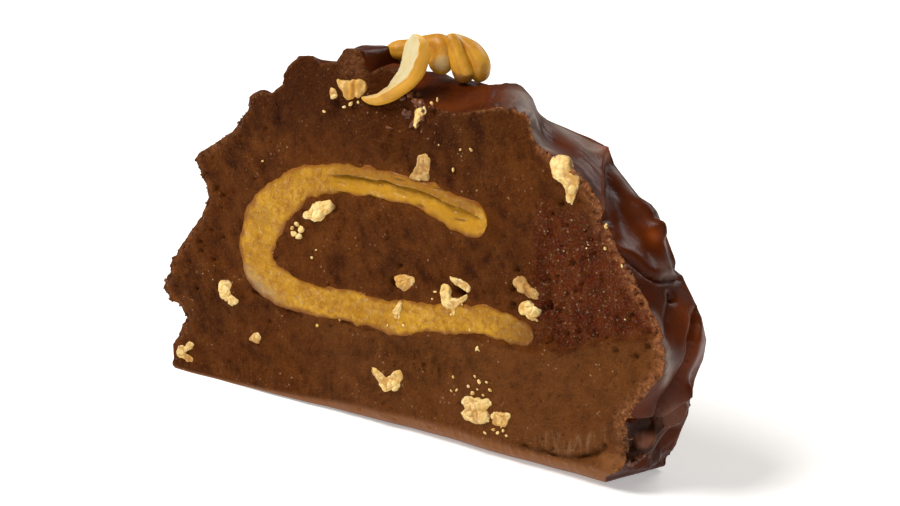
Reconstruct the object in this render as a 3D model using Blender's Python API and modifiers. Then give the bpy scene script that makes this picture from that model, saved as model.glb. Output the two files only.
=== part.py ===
"""A slice of chocolate fudge with a swirl of salted caramel, cashew pieces and whole cashews on top.

The slice stands on its flat base. Its long side runs along X, its two cut faces look to the
front (-Y) and the back (+Y), and the origin is under the middle of the base. The loaf's skin is a
loft through depth, the cut faces are made by two wavy knives, the caramel is a band that runs
through the loaf from face to face, and each nut sits in a pocket of its own.
All lengths below are in millimetres and are scaled to metres when a mesh is made.
"""
import math

import bmesh
import bpy
import numpy as np

MM = 0.001

# The loaf
HALF_DEPTH = 8.0          # from the middle of the slice to either cut face
OVERRUN = 2.5             # how far the uncut loaf runs past each cut face
FIT_GAP = 0.3             # clearance between two pieces that touch
FOOT_HEIGHT = 4.0         # the skin's relief fades out over this height above the base
RING_POINTS = 126         # points round one section of the loaf
SECTION_DEPTHS = (-10.5, -8.4, -6.0, -3.4, -0.6, 2.2, 5.2, 8.2, 10.5)

# Outline of the loaf, from the bottom left corner up, over and down: X and Z at the front face,
# then X and Z at the back face
OUTLINE = (
    (-61.2, 0.0, -60.5, 0.0), (-60.9, 8.4, -60.5, 9.0), (-62.6, 18.4, -61.5, 18.0),
    (-59.2, 26.8, -60.0, 27.0), (-51.4, 36.5, -53.5, 37.0), (-50.3, 42.0, -51.5, 43.0),
    (-54.2, 48.0, -50.5, 49.0), (-43.4, 55.6, -43.0, 57.0), (-36.6, 62.2, -36.0, 63.0),
    (-29.0, 67.9, -27.0, 68.0), (-18.6, 72.6, -17.0, 71.6), (-6.0, 72.2, -8.0, 71.6),
    (2.8, 69.2, 0.5, 71.0), (13.0, 68.9, 8.6, 71.0), (24.5, 72.3, 16.3, 72.2),
    (31.8, 71.6, 20.6, 70.6), (34.0, 65.5, 25.0, 66.2), (44.3, 61.6, 32.0, 64.6),
    (49.4, 54.8, 38.8, 63.3), (54.2, 46.0, 47.5, 54.5), (60.2, 36.5, 55.0, 42.5),
    (62.8, 29.0, 61.6, 30.5), (60.2, 22.8, 61.0, 22.5), (54.8, 15.2, 58.8, 15.5),
    (54.4, 8.0, 56.6, 8.4), (50.0, 3.2, 54.0, 3.0), (44.8, 0.1, 49.4, 0.1), (20.0, 0.0, 20.0, 0.0),
    (-20.0, 0.0, -20.0, 0.0), (-45.0, 0.0, -45.0, 0.0),
)
FLAP_CORNER = 18              # the outline's point on the step that the flap of skin ends in

# Raised (+) and hollow (-) places of the skin: reach, how steep the sides are, and a line of X, Y, Z
# and height
SKIN_FEATURES = {
    "left notch": (2.7, 2, ((-58.4, -9.0, 12.8, -5.0), (-58.5, 2.0, 12.5, -5.0))),
    "left spike": (1.8, 2, ((-63.2, -9.0, 17.8, 2.0), (-62.4, -3.0, 18.4, 0.0))),
    "left bump": (2.4, 4, ((-36.6, -9.0, 63.2, 3.0), (-37.0, -5.5, 62.6, 3.0))),
    "crown bump": (3.7, 4, ((-24.4, -9.0, 71.0, 3.9), (-25.2, -6.0, 70.4, 3.0))),
    "crown saddle": (3.0, 4, ((-17.6, -9.0, 72.8, 1.6), (-17.4, 2.0, 72.0, 1.0))),
    "top ridge": (3.2, 6, ((-12.3, -10.0, 73.0, 5.0), (-12.0, -1.0, 72.2, 4.4),
                           (-12.0, 4.0, 71.9, 3.8), (-12.1, 10.0, 71.6, 1.2))),
    "ridge valley": (1.1, 2, ((-8.7, -10.0, 73.2, -2.0), (-8.2, -4.0, 72.6, -1.0))),
    "second lump": (2.8, 4, ((-5.3, -10.0, 72.2, 3.2), (-4.6, -4.0, 72.0, 3.4))),
    "cashew seat": (3.4, 2, ((-7.0, 1.5, 71.6, 2.4), (-3.0, 4.0, 71.2, 1.6))),
    "cashew bed": (4.6, 2, ((2.0, 2.0, 70.4, 1.5), (12.0, 2.0, 70.4, 1.7))),
    "crest shoulder": (2.0, 4, ((21.5, -1.0, 72.4, 0.9), (27.0, -6.0, 72.4, 0.6))),
    "crest notch": (1.5, 2, ((33.3, -9.0, 69.0, -1.1), (31.0, -5.0, 69.0, -1.1))),
    "rim step": (1.2, 2, ((48.8, -9.0, 54.2, -2.0), (49.0, -6.5, 53.6, -1.0))),
    "trough": (3.0, 2, ((44.7, 4.0, 56.8, -1.3), (47.9, 0.5, 53.1, -1.3), (51.0, -3.5, 49.9, -1.3))),
    "upper fold": (1.9, 2, ((42.6, 6.8, 58.3, 1.2), (46.1, 6.4, 55.2, 1.3), (50.2, 5.2, 50.9, 1.4))),
    "tongue": (2.0, 2, ((51.3, 4.8, 48.8, 1.7), (53.2, 4.4, 46.0, 1.45), (55.0, 3.4, 43.4, 1.2))),
    "tongue tip": (1.6, 4, ((50.9, 4.8, 49.4, 1.1), (51.6, 5.0, 48.6, 1.1))),
    "tongue crease": (1.3, 2, ((52.9, -5.0, 47.7, -1.0), (55.3, -2.8, 44.0, -1.2),
                               (56.2, -1.0, 42.7, -1.2), (56.4, 4.0, 41.4, -1.2),
                               (55.9, 8.0, 41.0, -1.2))),
    "pit": (1.2, 2, ((58.1, 1.2, 38.9, -1.5), (58.3, 1.6, 38.4, -1.5))),
    "pit crease": (1.0, 2, ((58.1, 1.5, 38.7, -0.9), (60.1, -3.2, 35.5, -0.7), (61.4, -5.0, 33.2, -0.5))),
    "lobe": (4.0, 2, ((59.0, 5.5, 36.5, 0.9), (61.9, 5.5, 29.0, 0.9))),
    "long fold": (1.2, 2, ((60.6, 5.5, 33.2, -1.1), (62.1, 2.2, 30.8, -1.1), (61.3, 0.8, 23.3, -1.0),
                           (59.7, -0.5, 20.2, -1.0), (57.3, -2.5, 16.8, -0.9))),
    "hollow lip": (1.7, 2, ((59.6, 2.4, 19.6, 1.1), (57.4, 1.0, 17.4, 1.1), (56.0, -6.0, 17.6, 1.1))),
    "rear flap": (1.3, 2, ((57.3, 4.4, 12.6, 0.9), (58.9, 5.2, 16.6, 1.1), (60.4, 3.4, 20.6, 1.3))),
    "rear dent": (1.6, 2, ((57.0, 5.0, 9.5, -1.8), (56.0, 2.6, 7.0, -1.8))),
    "crumbled foot": (1.8, 2, ((53.6, -1.0, 3.0, 1.2), (54.6, 3.0, 4.0, 1.2))),
}
SKIN_WAVES = ((0.45, 24.0, 3), (0.28, 8.0, 5))      # height, wave length and seed

# The flap of skin that runs slantwise across the right slope: its step and how the drop fades
FLAP_DROP = 2.0
FLAP_STEP = 2.2
FLAP_FADE = 9.0

# The front cut face
TORN_LEFT = 32.5              # the torn patch lies to the right of this line
TORN_BLEND = 4.0
TORN_TOP = 58.0
TORN_DEPTH = 1.5
LEDGE = ((31.7, 24.8), (39.8, 26.0), (45.1, 28.6), (60.9, 33.2))   # its lower edge, a proud ledge
LEDGE_WIDTH = 1.6
SCOOP = (-2.0, 70.5, 7.5, 3.0)   # middle X, Z, reach and depth of the scoop under the nuts
FACE_WAVES = ((0.32, 26.0, 11), (0.16, 9.0, 12))
BAND_X = (-60.0, -45.0, -26.0, -12.0, 14.0, 48.0)   # the rounded bottom edge: places along it
BAND_RADIUS = (0.3, 0.7, 2.2, 3.8, 5.0, 5.6)        # and its radius at each of them

# The slabs that cut the two faces: size, height of their middle, thickness, and cells each way
KNIFE_SIZE = (134.0, 88.0)
KNIFE_MIDDLE = 40.0
KNIFE_THICKNESS = 9.0
FRONT_CELLS = (36, 25)
BACK_CELLS = (17, 11)

# The underside stands on two feet with a shallow arch between them
ARCH_MIDDLE = -16.0
ARCH_REACH = 20.0
ARCH_HEIGHT = 0.5

# The hollow at the lower right corner: middle, half sizes and how uneven it is, then the lump
# that is left standing in it
HOLLOW = (56.4, -3.4, 10.6)
HOLLOW_SIZE = (4.6, 4.9, 5.6)
HOLLOW_SQUARENESS = 0.7       # below 1 its top and bottom are flatter than a ball's
HOLLOW_WAVES = (0.1, 1.6, 71)
HOLLOW_LUMP = (54.0, 0.6, 8.6)
HOLLOW_LUMP_REACH = 3.2
HOLLOW_LUMP_PUSH = (1.5, -1.9, 0.8)

# The caramel band: X, Z and half width along its middle, from the lower end to the upper end
CARAMEL = (
    (33.0, 27.7, 2.4), (26.0, 28.4, 3.3), (17.5, 28.0, 3.1), (8.0, 26.4, 3.3),
    (-2.0, 24.4, 3.6), (-13.0, 24.2, 3.4), (-25.0, 23.9, 3.6), (-34.8, 25.8, 4.8),
    (-37.6, 31.0, 4.9), (-35.6, 37.5, 5.0), (-30.0, 43.9, 4.3), (-22.0, 49.1, 3.2),
    (-10.0, 51.1, 3.2), (3.0, 51.3, 3.1), (8.5, 50.6, 3.4), (14.0, 49.6, 3.9),
    (18.2, 48.7, 4.1), (21.8, 48.1, 4.0),
)
CARAMEL_STATIONS = 38
CARAMEL_ACROSS = (-1.0, -0.5, 0.0, 0.3, 0.6, 1.0)
CARAMEL_BLUNT = 0.12          # how blunt the band's two rounded ends are
GROOVE_ACROSS = 0.3           # the groove's place across the band, as a share of its half width
GROOVE_WIDTH = 0.25           # its width, as a share of the same
GROOVE_SPAN = (-19.0, 18.0)   # the groove lies between these X on the upper arm
GROOVE_FADE = 4.0
GROOVE_DEPTH = 1.2
UPPER_ARM = 44.0              # the upper arm is above this Z

# Nuts in the front face: X, Z, width, height, tilt in degrees and depth behind the face
FRONT_NUTS = (
    (4.5, 66.9, 2.8, 5.0, -12.0, 2.4), (5.4, 57.0, 4.2, 5.6, -15.0, 3.0),
    (40.0, 60.6, 5.4, 9.8, 33.0, 4.0), (-21.0, 43.0, 8.0, 3.8, 32.0, 3.6),
    (1.5, 32.1, 4.4, 3.6, 0.0, 3.0), (-0.3, 25.5, 2.3, 4.6, -8.0, 2.4),
    (12.7, 30.9, 4.8, 5.4, 0.0, 3.0), (14.9, 34.8, 5.2, 1.8, -14.0, 2.4),
    (31.1, 37.4, 6.6, 3.4, -18.0, 3.0), (31.6, 32.9, 5.2, 3.6, 0.0, 3.2),
    (-45.4, 20.3, 3.8, 6.0, 25.0, 3.4), (-38.1, 11.9, 3.4, 2.2, 10.0, 2.2),
    (-3.0, 11.0, 8.2, 4.6, 0.0, 4.2), (19.1, 9.3, 7.6, 6.0, 0.0, 4.0),
    (25.3, 8.9, 4.2, 3.2, 20.0, 2.6), (-58.2, 4.5, 5.2, 4.0, 25.0, 3.0),
    (-11.5, 69.9, 8.6, 4.6, 0.0, 5.0), (-16.5, 67.9, 2.0, 2.6, 20.0, 2.0),
)
# Nuts in the back face, laid out in the same way
BACK_NUTS = (
    (-44.0, 34.0, 5.2, 3.8, 30.0, 3.2), (-14.0, 37.0, 4.0, 5.6, -25.0, 3.4),
    (9.0, 61.5, 6.4, 3.6, 15.0, 3.6), (41.0, 44.0, 5.0, 4.2, -20.0, 3.2),
    (29.0, 14.5, 7.4, 4.4, 12.0, 4.0), (-29.0, 11.0, 4.2, 3.2, -10.0, 2.8),
)
TOP_NUT = "nut_17"            # this one lies behind the tip of a whole cashew
NUT_PROUD = 0.35              # how far a nut stands out of the face
NUT_SUNK = 0.15               # how far its middle is outside the face, as a share of its depth
NUT_WAVES = (0.16, 1.5, 40)   # its knobs: height, wave length and first seed
NUT_BIG = 8.0                 # nuts longer than this get a finer mesh
NUT_MARGIN = 1.0              # a nut this near to the caramel needs a pocket in it too

# Whole cashews: the line down the middle with the share of the full girth at each place, half width,
# half thickness, the direction of the thickness at the first and the last end, how flat that side
# is, and the groove along it. Each makes room for those before it.
CASHEWS = {
    "cashew_half": (
        ((-10.0, -7.2, 68.1, 0.24), (-9.1, -7.2, 68.3, 0.34), (-7.7, -7.1, 68.7, 0.43),
         (-5.7, -7.0, 69.5, 0.54), (-4.0, -6.9, 70.7, 0.67), (-2.2, -6.8, 72.4, 0.8),
         (-0.5, -6.7, 74.2, 0.92), (0.7, -6.5, 76.0, 1.0), (1.3, -6.2, 78.0, 1.0),
         (1.8, -5.9, 79.8, 0.95), (2.2, -5.7, 81.3, 0.88), (2.5, -5.6, 82.5, 0.8)),
        2.9, 4.1, (-0.02, 0.03, 0.99), (-0.39, -0.91, 0.15), 0.92, 0.12),
    "cashew_rear": (
        ((4.1, 4.0, 81.0, 0.3), (5.2, 4.2, 80.3, 0.4), (6.7, 4.4, 79.5, 0.6), (8.2, 4.7, 78.3, 0.85),
         (9.6, 4.9, 76.4, 1.0), (10.1, 4.8, 74.7, 1.0), (9.9, 4.8, 72.1, 0.85)),
        2.1, 2.4, (0.3, -0.95, 0.1), (0.3, -0.95, 0.1), 0.0, 0.04),
    "cashew_finger": (
        ((4.0, 2.4, 81.1, 0.7), (5.0, 2.4, 80.0, 0.66), (6.2, 2.3, 78.2, 0.78), (7.1, 2.3, 76.4, 0.9),
         (8.0, 2.2, 74.6, 0.98), (9.0, 2.2, 72.3, 0.9)),
        2.3, 2.0, (0.3, -0.95, 0.1), (0.3, -0.95, 0.1), 0.0, 0.04),
    "cashew_back": (
        ((-10.9, 2.0, 76.5, 0.5), (-9.8, 2.1, 76.3, 0.78), (-8.2, 2.2, 76.2, 0.92),
         (-6.4, 2.4, 76.4, 0.96), (-3.9, 2.4, 77.2, 0.94), (-0.8, 2.3, 78.2, 0.98),
         (2.4, 2.2, 78.7, 1.1), (3.1, 2.1, 77.1, 1.12), (2.9, 2.0, 75.1, 1.15), (3.0, 1.9, 73.0, 1.08)),
        2.2, 2.2, (0.0, -1.0, 0.1), (0.0, -1.0, 0.1), 0.0, 0.1),
}
CASHEW_SEGMENTS = 12
CASHEW_RINGS = 13
CASHEW_STATIONS = 60
CASHEW_END = 0.16             # share of the length over which each end rounds off
CASHEW_GROOVE_WIDTH = 0.3     # as a share of the half width
ROOM_GAP = 1.2 * FIT_GAP      # the corners of a coarse kernel need a little more room

COLORS = {                    # base colour (linear), roughness, metallic
    "fudge": ((0.078, 0.023, 0.008), 0.55, 0.0),
    "caramel": ((0.62, 0.33, 0.06), 0.45, 0.0),
    "nut": ((0.80, 0.56, 0.20), 0.55, 0.0),
    "cashew": ((0.66, 0.38, 0.10), 0.5, 0.0),
}


def smooth(value):
    """Rise from 0 to 1 as the value goes from 0 to 1, level at both ends."""
    value = np.clip(value, 0.0, 1.0)
    return value * value * (3.0 - 2.0 * value)


def waves(points, size, seed):
    """Uneven field of about -1 to 1: the mean of nine sine waves of that length, seeded."""
    rng = np.random.default_rng(seed)
    directions = rng.normal(size=(9, points.shape[-1]))
    directions /= np.linalg.norm(directions, axis=1, keepdims=True)
    turns = points @ directions.T * (2.0 * math.pi / size)
    return np.sin(turns * rng.uniform(0.7, 1.3, 9) + rng.uniform(0.0, 6.28, 9)).sum(-1) / 4.5


def near_line(points, line):
    """Distance from each point to a broken line, and the line's fourth number at the nearest place."""
    line = np.asarray(line, dtype=float)
    nearest = np.full(points.shape[:-1], np.inf)
    height = np.zeros(points.shape[:-1])
    for start, end in zip(line[:-1], line[1:]):
        run = (end - start)[:3]
        share = np.clip((points - start[:3]) @ run / (run @ run), 0.0, 1.0)
        gap = np.linalg.norm(points - start[:3] - share[..., None] * run, axis=-1)
        height = np.where(gap < nearest, start[3] + share * (end[3] - start[3]), height)
        nearest = np.minimum(nearest, gap)
    return nearest, height


def spline(points, steps, closed=False):
    """Catmull-Rom curve through the points, read at even steps of its length."""
    points = np.asarray(points, dtype=float)
    if closed:
        padded = np.vstack([points[-1:], points, points[:2]])
    else:
        padded = np.vstack([2 * points[0] - points[1], points, 2 * points[-1] - points[-2]])
    t = np.linspace(0.0, 1.0, 24, endpoint=False)[:, None]
    pieces = []
    for a, b, c, d in zip(padded[:-3], padded[1:-2], padded[2:-1], padded[3:]):
        pieces.append(0.5 * (2 * b + (c - a) * t + (2 * a - 5 * b + 4 * c - d) * t ** 2
                             + (3 * b - a - 3 * c + d) * t ** 3))
    last = pieces[0][:1] if closed else points[-1:]
    fine = np.vstack(pieces + [last])
    length = np.concatenate([[0.0], np.cumsum(np.linalg.norm(np.diff(fine, axis=0), axis=1))])
    wanted = np.linspace(0.0, length[-1], steps, endpoint=not closed)
    return np.stack([np.interp(wanted, length, column) for column in fine.T], axis=1)


def outline(depth):
    """The loaf's outline at this depth, its outward directions and the way along it."""
    corners = np.asarray(OUTLINE)
    share = (depth + HALF_DEPTH) / (2 * HALF_DEPTH)
    corners = corners[:, :2] * (1.0 - share) + corners[:, 2:] * share
    ring = spline(corners, RING_POINTS, closed=True)
    along = np.roll(ring, -1, axis=0) - np.roll(ring, 1, axis=0)
    along /= np.linalg.norm(along, axis=1, keepdims=True)
    outward = np.stack([-along[:, 1], along[:, 0]], axis=1)
    way = np.concatenate([[0.0], np.cumsum(np.linalg.norm(np.diff(ring, axis=0), axis=1))])
    flap_way = way[np.argmin(np.linalg.norm(ring - corners[FLAP_CORNER], axis=1))]
    return ring, outward, way - flap_way


def skin_push(points, past_flap):
    """How far the skin stands out of the plain loft at each point."""
    push = np.zeros(points.shape[:-1])
    for reach, steep, line in SKIN_FEATURES.values():
        gap, height = near_line(points, line)
        push += height * np.exp(-(gap / reach) ** steep)
    for height, size, seed in SKIN_WAVES:
        push += height * waves(points, size, seed)
    drop = FLAP_DROP * smooth(past_flap / FLAP_STEP + 0.5)
    push -= drop * np.exp(-np.clip(past_flap, 0.0, None) / FLAP_FADE)
    return push


def loaf_section(depth):
    """One closed section of the loaf at this depth, standing on the floor."""
    ring, outward, past_flap = outline(depth)
    points = np.stack([ring[:, 0], np.full(len(ring), depth), ring[:, 1]], axis=1)
    push = skin_push(points, past_flap)
    push *= smooth(ring[:, 1] / FOOT_HEIGHT)               # the base itself stays flat
    points[:, 0] += outward[:, 0] * push
    points[:, 2] += outward[:, 1] * push
    arch = ARCH_HEIGHT * np.exp(-((points[:, 0] - ARCH_MIDDLE) / ARCH_REACH) ** 4)
    points[:, 2] = np.maximum(points[:, 2], np.where(ring[:, 1] < 1.0, arch, 0.0))
    return points


def front_depth(x, z):
    """Y of the front cut face."""
    place = np.stack([x, z], axis=-1)
    depth = np.full(np.shape(x), -HALF_DEPTH)
    for height, size, seed in FACE_WAVES:
        depth = depth + height * waves(place, size, seed)
    ledge_x, ledge_z = zip(*LEDGE)
    above = z - np.interp(x, ledge_x, ledge_z)
    torn = smooth((x - TORN_LEFT) / TORN_BLEND) * smooth(above / LEDGE_WIDTH)
    depth = depth + TORN_DEPTH * torn * (1.0 - smooth((z - TORN_TOP + 12.0) / 12.0))
    scoop_x, scoop_z, reach, deep = SCOOP
    depth = depth + deep * np.exp(-((x - scoop_x) ** 2 + (z - scoop_z) ** 2) / reach ** 2)
    radius = np.interp(x, BAND_X, BAND_RADIUS)
    low = np.clip(radius - z, 0.0, radius)
    return depth + radius - np.sqrt(radius ** 2 - low ** 2)


def back_depth(x, z):
    """Y of the back cut face."""
    place = np.stack([x, z], axis=-1) + 200.0
    return HALF_DEPTH + sum(height * waves(place, size, seed) for height, size, seed in FACE_WAVES)


def material(kind, name):
    """Principled material of one kind of food."""
    color, roughness, metallic = COLORS[kind]
    made = bpy.data.materials.new(name)
    made.use_nodes = True
    shader = made.node_tree.nodes["Principled BSDF"]
    shader.inputs["Base Color"].default_value = (*color, 1.0)
    shader.inputs["Roughness"].default_value = roughness
    shader.inputs["Metallic"].default_value = metallic
    return made


def new_object(name, mesh, collection):
    """Object of this mesh, linked into the collection."""
    made = bpy.data.objects.new(name, mesh)
    collection.objects.link(made)
    return made


def loft(name, rings, collection):
    """Closed solid through a row of rings of points, with a cap at each end."""
    rings = np.asarray(rings) * MM
    count, size = rings.shape[:2]
    faces = [list(range(size)), list(range((count - 1) * size, count * size))]
    for row in range(count - 1):
        for column in range(size):
            near = row * size + column
            far = row * size + (column + 1) % size
            faces.append([near, far, far + size, near + size])
    mesh = bpy.data.meshes.new(name)
    mesh.from_pydata(rings.reshape(-1, 3).tolist(), [], faces)
    return new_object(name, face_outwards(mesh), collection)


def face_outwards(mesh):
    """Turn all faces of a closed mesh to look out of it."""
    work = bmesh.new()
    work.from_mesh(mesh)
    bmesh.ops.recalc_face_normals(work, faces=work.faces)
    work.to_mesh(mesh)
    work.free()
    return mesh


def move_points(obj, place):
    """Give every point of a mesh a new place: `place` takes and returns an array in millimetres."""
    mesh = obj.data
    points = np.empty(len(mesh.vertices) * 3)
    mesh.vertices.foreach_get("co", points)
    mesh.vertices.foreach_set("co", (place(points.reshape(-1, 3) / MM) * MM).ravel())
    mesh.update()


def take_over(obj, name, collection):
    """Name an object that a primitive made, and put it in the collection alone."""
    obj.name = name
    obj.data.name = name
    for other in list(obj.users_collection):
        other.objects.unlink(obj)
    collection.objects.link(obj)
    return obj


def knife(name, depth_at, side, cells, collection):
    """Slab whose inner face follows depth_at; side is -1 at the front and 1 at the back."""
    bpy.ops.mesh.primitive_grid_add(x_subdivisions=cells[0], y_subdivisions=cells[1], size=1.0)
    slab = take_over(bpy.context.active_object, name, collection)

    def onto_face(points):
        x = points[:, 0] * MM * KNIFE_SIZE[0]
        z = KNIFE_MIDDLE + points[:, 1] * MM * KNIFE_SIZE[1]
        return np.stack([x, depth_at(x, z), z], axis=1)

    move_points(slab, onto_face)
    thickness = slab.modifiers.new("Thickness", "SOLIDIFY")
    thickness.thickness = KNIFE_THICKNESS * MM
    thickness.offset = -side                               # the grid's own normals look to -Y
    return slab


def cut(obj, cutter):
    """Take the cutter out of the object; EXACT leaves edges with four faces on these wavy ones."""
    step = obj.modifiers.new(f"Less {cutter.name}", "BOOLEAN")
    step.operation = "DIFFERENCE"
    step.object = cutter
    step.solver = "MANIFOLD"


def apply_all(obj):
    """Replace the object's mesh by what its modifiers make of it."""
    graph = bpy.context.evaluated_depsgraph_get()
    mesh = bpy.data.meshes.new_from_object(obj.evaluated_get(graph))
    obj.modifiers.clear()
    obj.data = mesh
    mesh.name = obj.name


def caramel_rings(spare, front, back):
    """Sections of the caramel band, widened by `spare`; front and back give the Y of its faces."""
    path = spline(CARAMEL, CARAMEL_STATIONS)
    along = np.gradient(path[:, :2], axis=0)
    along /= np.linalg.norm(along, axis=1, keepdims=True)
    across = np.stack([-along[:, 1], along[:, 0]], axis=1)
    path[0, :2] -= along[0] * spare
    path[-1, :2] += along[-1] * spare
    way = np.concatenate([[0.0], np.cumsum(np.linalg.norm(np.diff(path[:, :2], axis=0), axis=1))])
    from_end = np.minimum(way, way[-1] - way)
    rounding = 1.0 - (1.0 - np.clip(from_end / path[:, 2], 0.0, 1.0)) ** 2
    half = path[:, 2] * np.sqrt(CARAMEL_BLUNT + (1.0 - CARAMEL_BLUNT) * rounding) + spare
    rings = []
    for face, shares in ((front, CARAMEL_ACROSS), (back, CARAMEL_ACROSS[::-1])):
        for share in shares:
            x = path[:, 0] + across[:, 0] * half * share
            z = path[:, 1] + across[:, 1] * half * share
            rings.append(np.stack([x, face(x, z, share), z], axis=1))
    return np.stack(rings, axis=1)


def caramel_front(x, z, share):
    """Y of the caramel's front face, with the groove along the upper arm."""
    start, end = GROOVE_SPAN
    in_span = smooth((x - start) / GROOVE_FADE) * smooth((end - x) / GROOVE_FADE)
    on_arm = smooth((z - UPPER_ARM) / 2.0) * in_span
    in_groove = math.exp(-((share - GROOVE_ACROSS) / GROOVE_WIDTH) ** 2)
    return front_depth(x, z) + GROOVE_DEPTH * on_arm * in_groove


def nut(name, place, face_y, side, number, spare, collection):
    """Broken nut in a cut face: a knobbly ball, flat where the knife went through it."""
    x, z, width, height, tilt, deep = place
    fineness = 3 if max(width, height) > NUT_BIG else 2
    bpy.ops.mesh.primitive_ico_sphere_add(subdivisions=fineness, radius=1.0)
    piece = take_over(bpy.context.active_object, name, collection)
    turn = math.radians(tilt)
    knob_height, knob_size, seed = NUT_WAVES

    def shape(points):
        unit = points * MM
        knobs = 1.0 + knob_height * waves(unit, knob_size, seed + number)[:, None]
        local = unit * knobs * (width / 2 + spare, deep + spare, height / 2 + spare)
        turned = np.stack([local[:, 0] * math.cos(turn) - local[:, 2] * math.sin(turn), local[:, 1],
                           local[:, 0] * math.sin(turn) + local[:, 2] * math.cos(turn)], axis=1)
        return turned + (x, face_y - side * deep * NUT_SUNK, z)

    move_points(piece, shape)
    return piece


def slice_off(piece, face_y, side):
    """Cut a nut flat a little proud of the face."""
    work = bmesh.new()
    work.from_mesh(piece.data)
    geometry = work.verts[:] + work.edges[:] + work.faces[:]
    level = (0.0, (face_y + side * NUT_PROUD) * MM, 0.0)
    bmesh.ops.bisect_plane(work, geom=geometry, plane_co=level, plane_no=(0.0, side, 0.0),
                           clear_outer=True, dist=0.00001)
    rim = [edge for edge in work.edges if edge.is_boundary]
    bmesh.ops.holes_fill(work, edges=rim)
    bmesh.ops.recalc_face_normals(work, faces=work.faces)
    work.to_mesh(piece.data)
    work.free()


def cashew(name, form, collection):
    """Curved kernel: a ball drawn out along its middle line, flattened and grooved on one side."""
    line, half_width, half_thickness, first, last, flat, groove = form
    bpy.ops.mesh.primitive_uv_sphere_add(segments=CASHEW_SEGMENTS, ring_count=CASHEW_RINGS, radius=1.0)
    kernel = take_over(bpy.context.active_object, name, collection)
    middle = spline(line, CASHEW_STATIONS)
    along = np.gradient(middle[:, :3], axis=0)
    along /= np.linalg.norm(along, axis=1, keepdims=True)

    def shape(points):
        unit = points * MM
        way = (unit[:, 2] + 1.0) / 2.0
        steps = np.linspace(0.0, 1.0, len(middle))
        centre = np.stack([np.interp(way, steps, column) for column in middle[:, :3].T], axis=1)
        forward = np.stack([np.interp(way, steps, column) for column in along.T], axis=1)
        facing = np.outer(1.0 - way, first) + np.outer(way, last)
        thick = facing - (forward * facing).sum(1, keepdims=True) * forward
        thick /= np.linalg.norm(thick, axis=1, keepdims=True)
        wide = np.cross(forward, thick)
        ring = np.sqrt(np.clip(1.0 - unit[:, 2] ** 2, 1e-6, 1.0))
        from_end = np.clip(np.minimum(way, 1.0 - way) / CASHEW_END, 0.0, 1.0)
        girth = np.sqrt(1.0 - (1.0 - from_end) ** 2) * np.interp(way, steps, middle[:, 3])
        a = unit[:, 0] / ring * girth
        b = unit[:, 1] / ring * girth
        furrow = groove * np.exp(-(unit[:, 1] / ring / CASHEW_GROOVE_WIDTH) ** 2) * ring * girth
        a = np.where(a > 0.0, a * (1.0 - flat) - furrow, a)
        return centre + thick * (a * half_thickness)[:, None] + wide * (b * half_width)[:, None]

    move_points(kernel, shape)
    face_outwards(kernel.data)
    return kernel


def room_for(kernel, collection):
    """Copy of a kernel, larger all round by the gap, to cut its place out of a neighbour."""
    room = new_object(f"room for {kernel.name}", kernel.data.copy(), collection)
    normals = np.empty(len(room.data.vertices) * 3)
    room.data.vertices.foreach_get("normal", normals)
    move_points(room, lambda points: points + normals.reshape(-1, 3) * ROOM_GAP)
    return room


def near_caramel(place):
    """Whether a nut comes so close to the caramel that the caramel needs a pocket too."""
    path = spline(CARAMEL, 2 * CARAMEL_STATIONS)
    reach = max(place[2], place[3]) / 2 + NUT_MARGIN
    gap = np.linalg.norm(path[:, :2] - place[:2], axis=1) - path[:, 2]
    return gap.min() < reach


def hollow(collection):
    """Cutter for the hollow at the lower right corner."""
    bpy.ops.mesh.primitive_ico_sphere_add(subdivisions=3, radius=1.0)
    ball = take_over(bpy.context.active_object, "hollow", collection)

    height, size, seed = HOLLOW_WAVES

    def shape(points):
        unit = points * MM
        boxed = np.sign(unit) * np.abs(unit) ** (1.0, 1.0, HOLLOW_SQUARENESS)
        placed = boxed * HOLLOW_SIZE * (1.0 + height * waves(unit, size, seed)[:, None]) + HOLLOW
        distance = np.linalg.norm(placed - HOLLOW_LUMP, axis=1, keepdims=True)
        lump = np.exp(-(distance / HOLLOW_LUMP_REACH) ** 2)
        return placed + lump * HOLLOW_LUMP_PUSH

    move_points(ball, shape)
    return ball


def finish(obj, kind):
    """Split the faces into triangles, shade and colour the piece."""
    work = bmesh.new()
    work.from_mesh(obj.data)
    bmesh.ops.triangulate(work, faces=work.faces)
    work.to_mesh(obj.data)
    work.free()
    obj.data.shade_smooth()
    obj.data.set_sharp_from_angle(angle=math.radians(40.0))
    obj.data.materials.clear()
    obj.data.materials.append(material(kind, f"{kind} of {obj.name}"))


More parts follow.
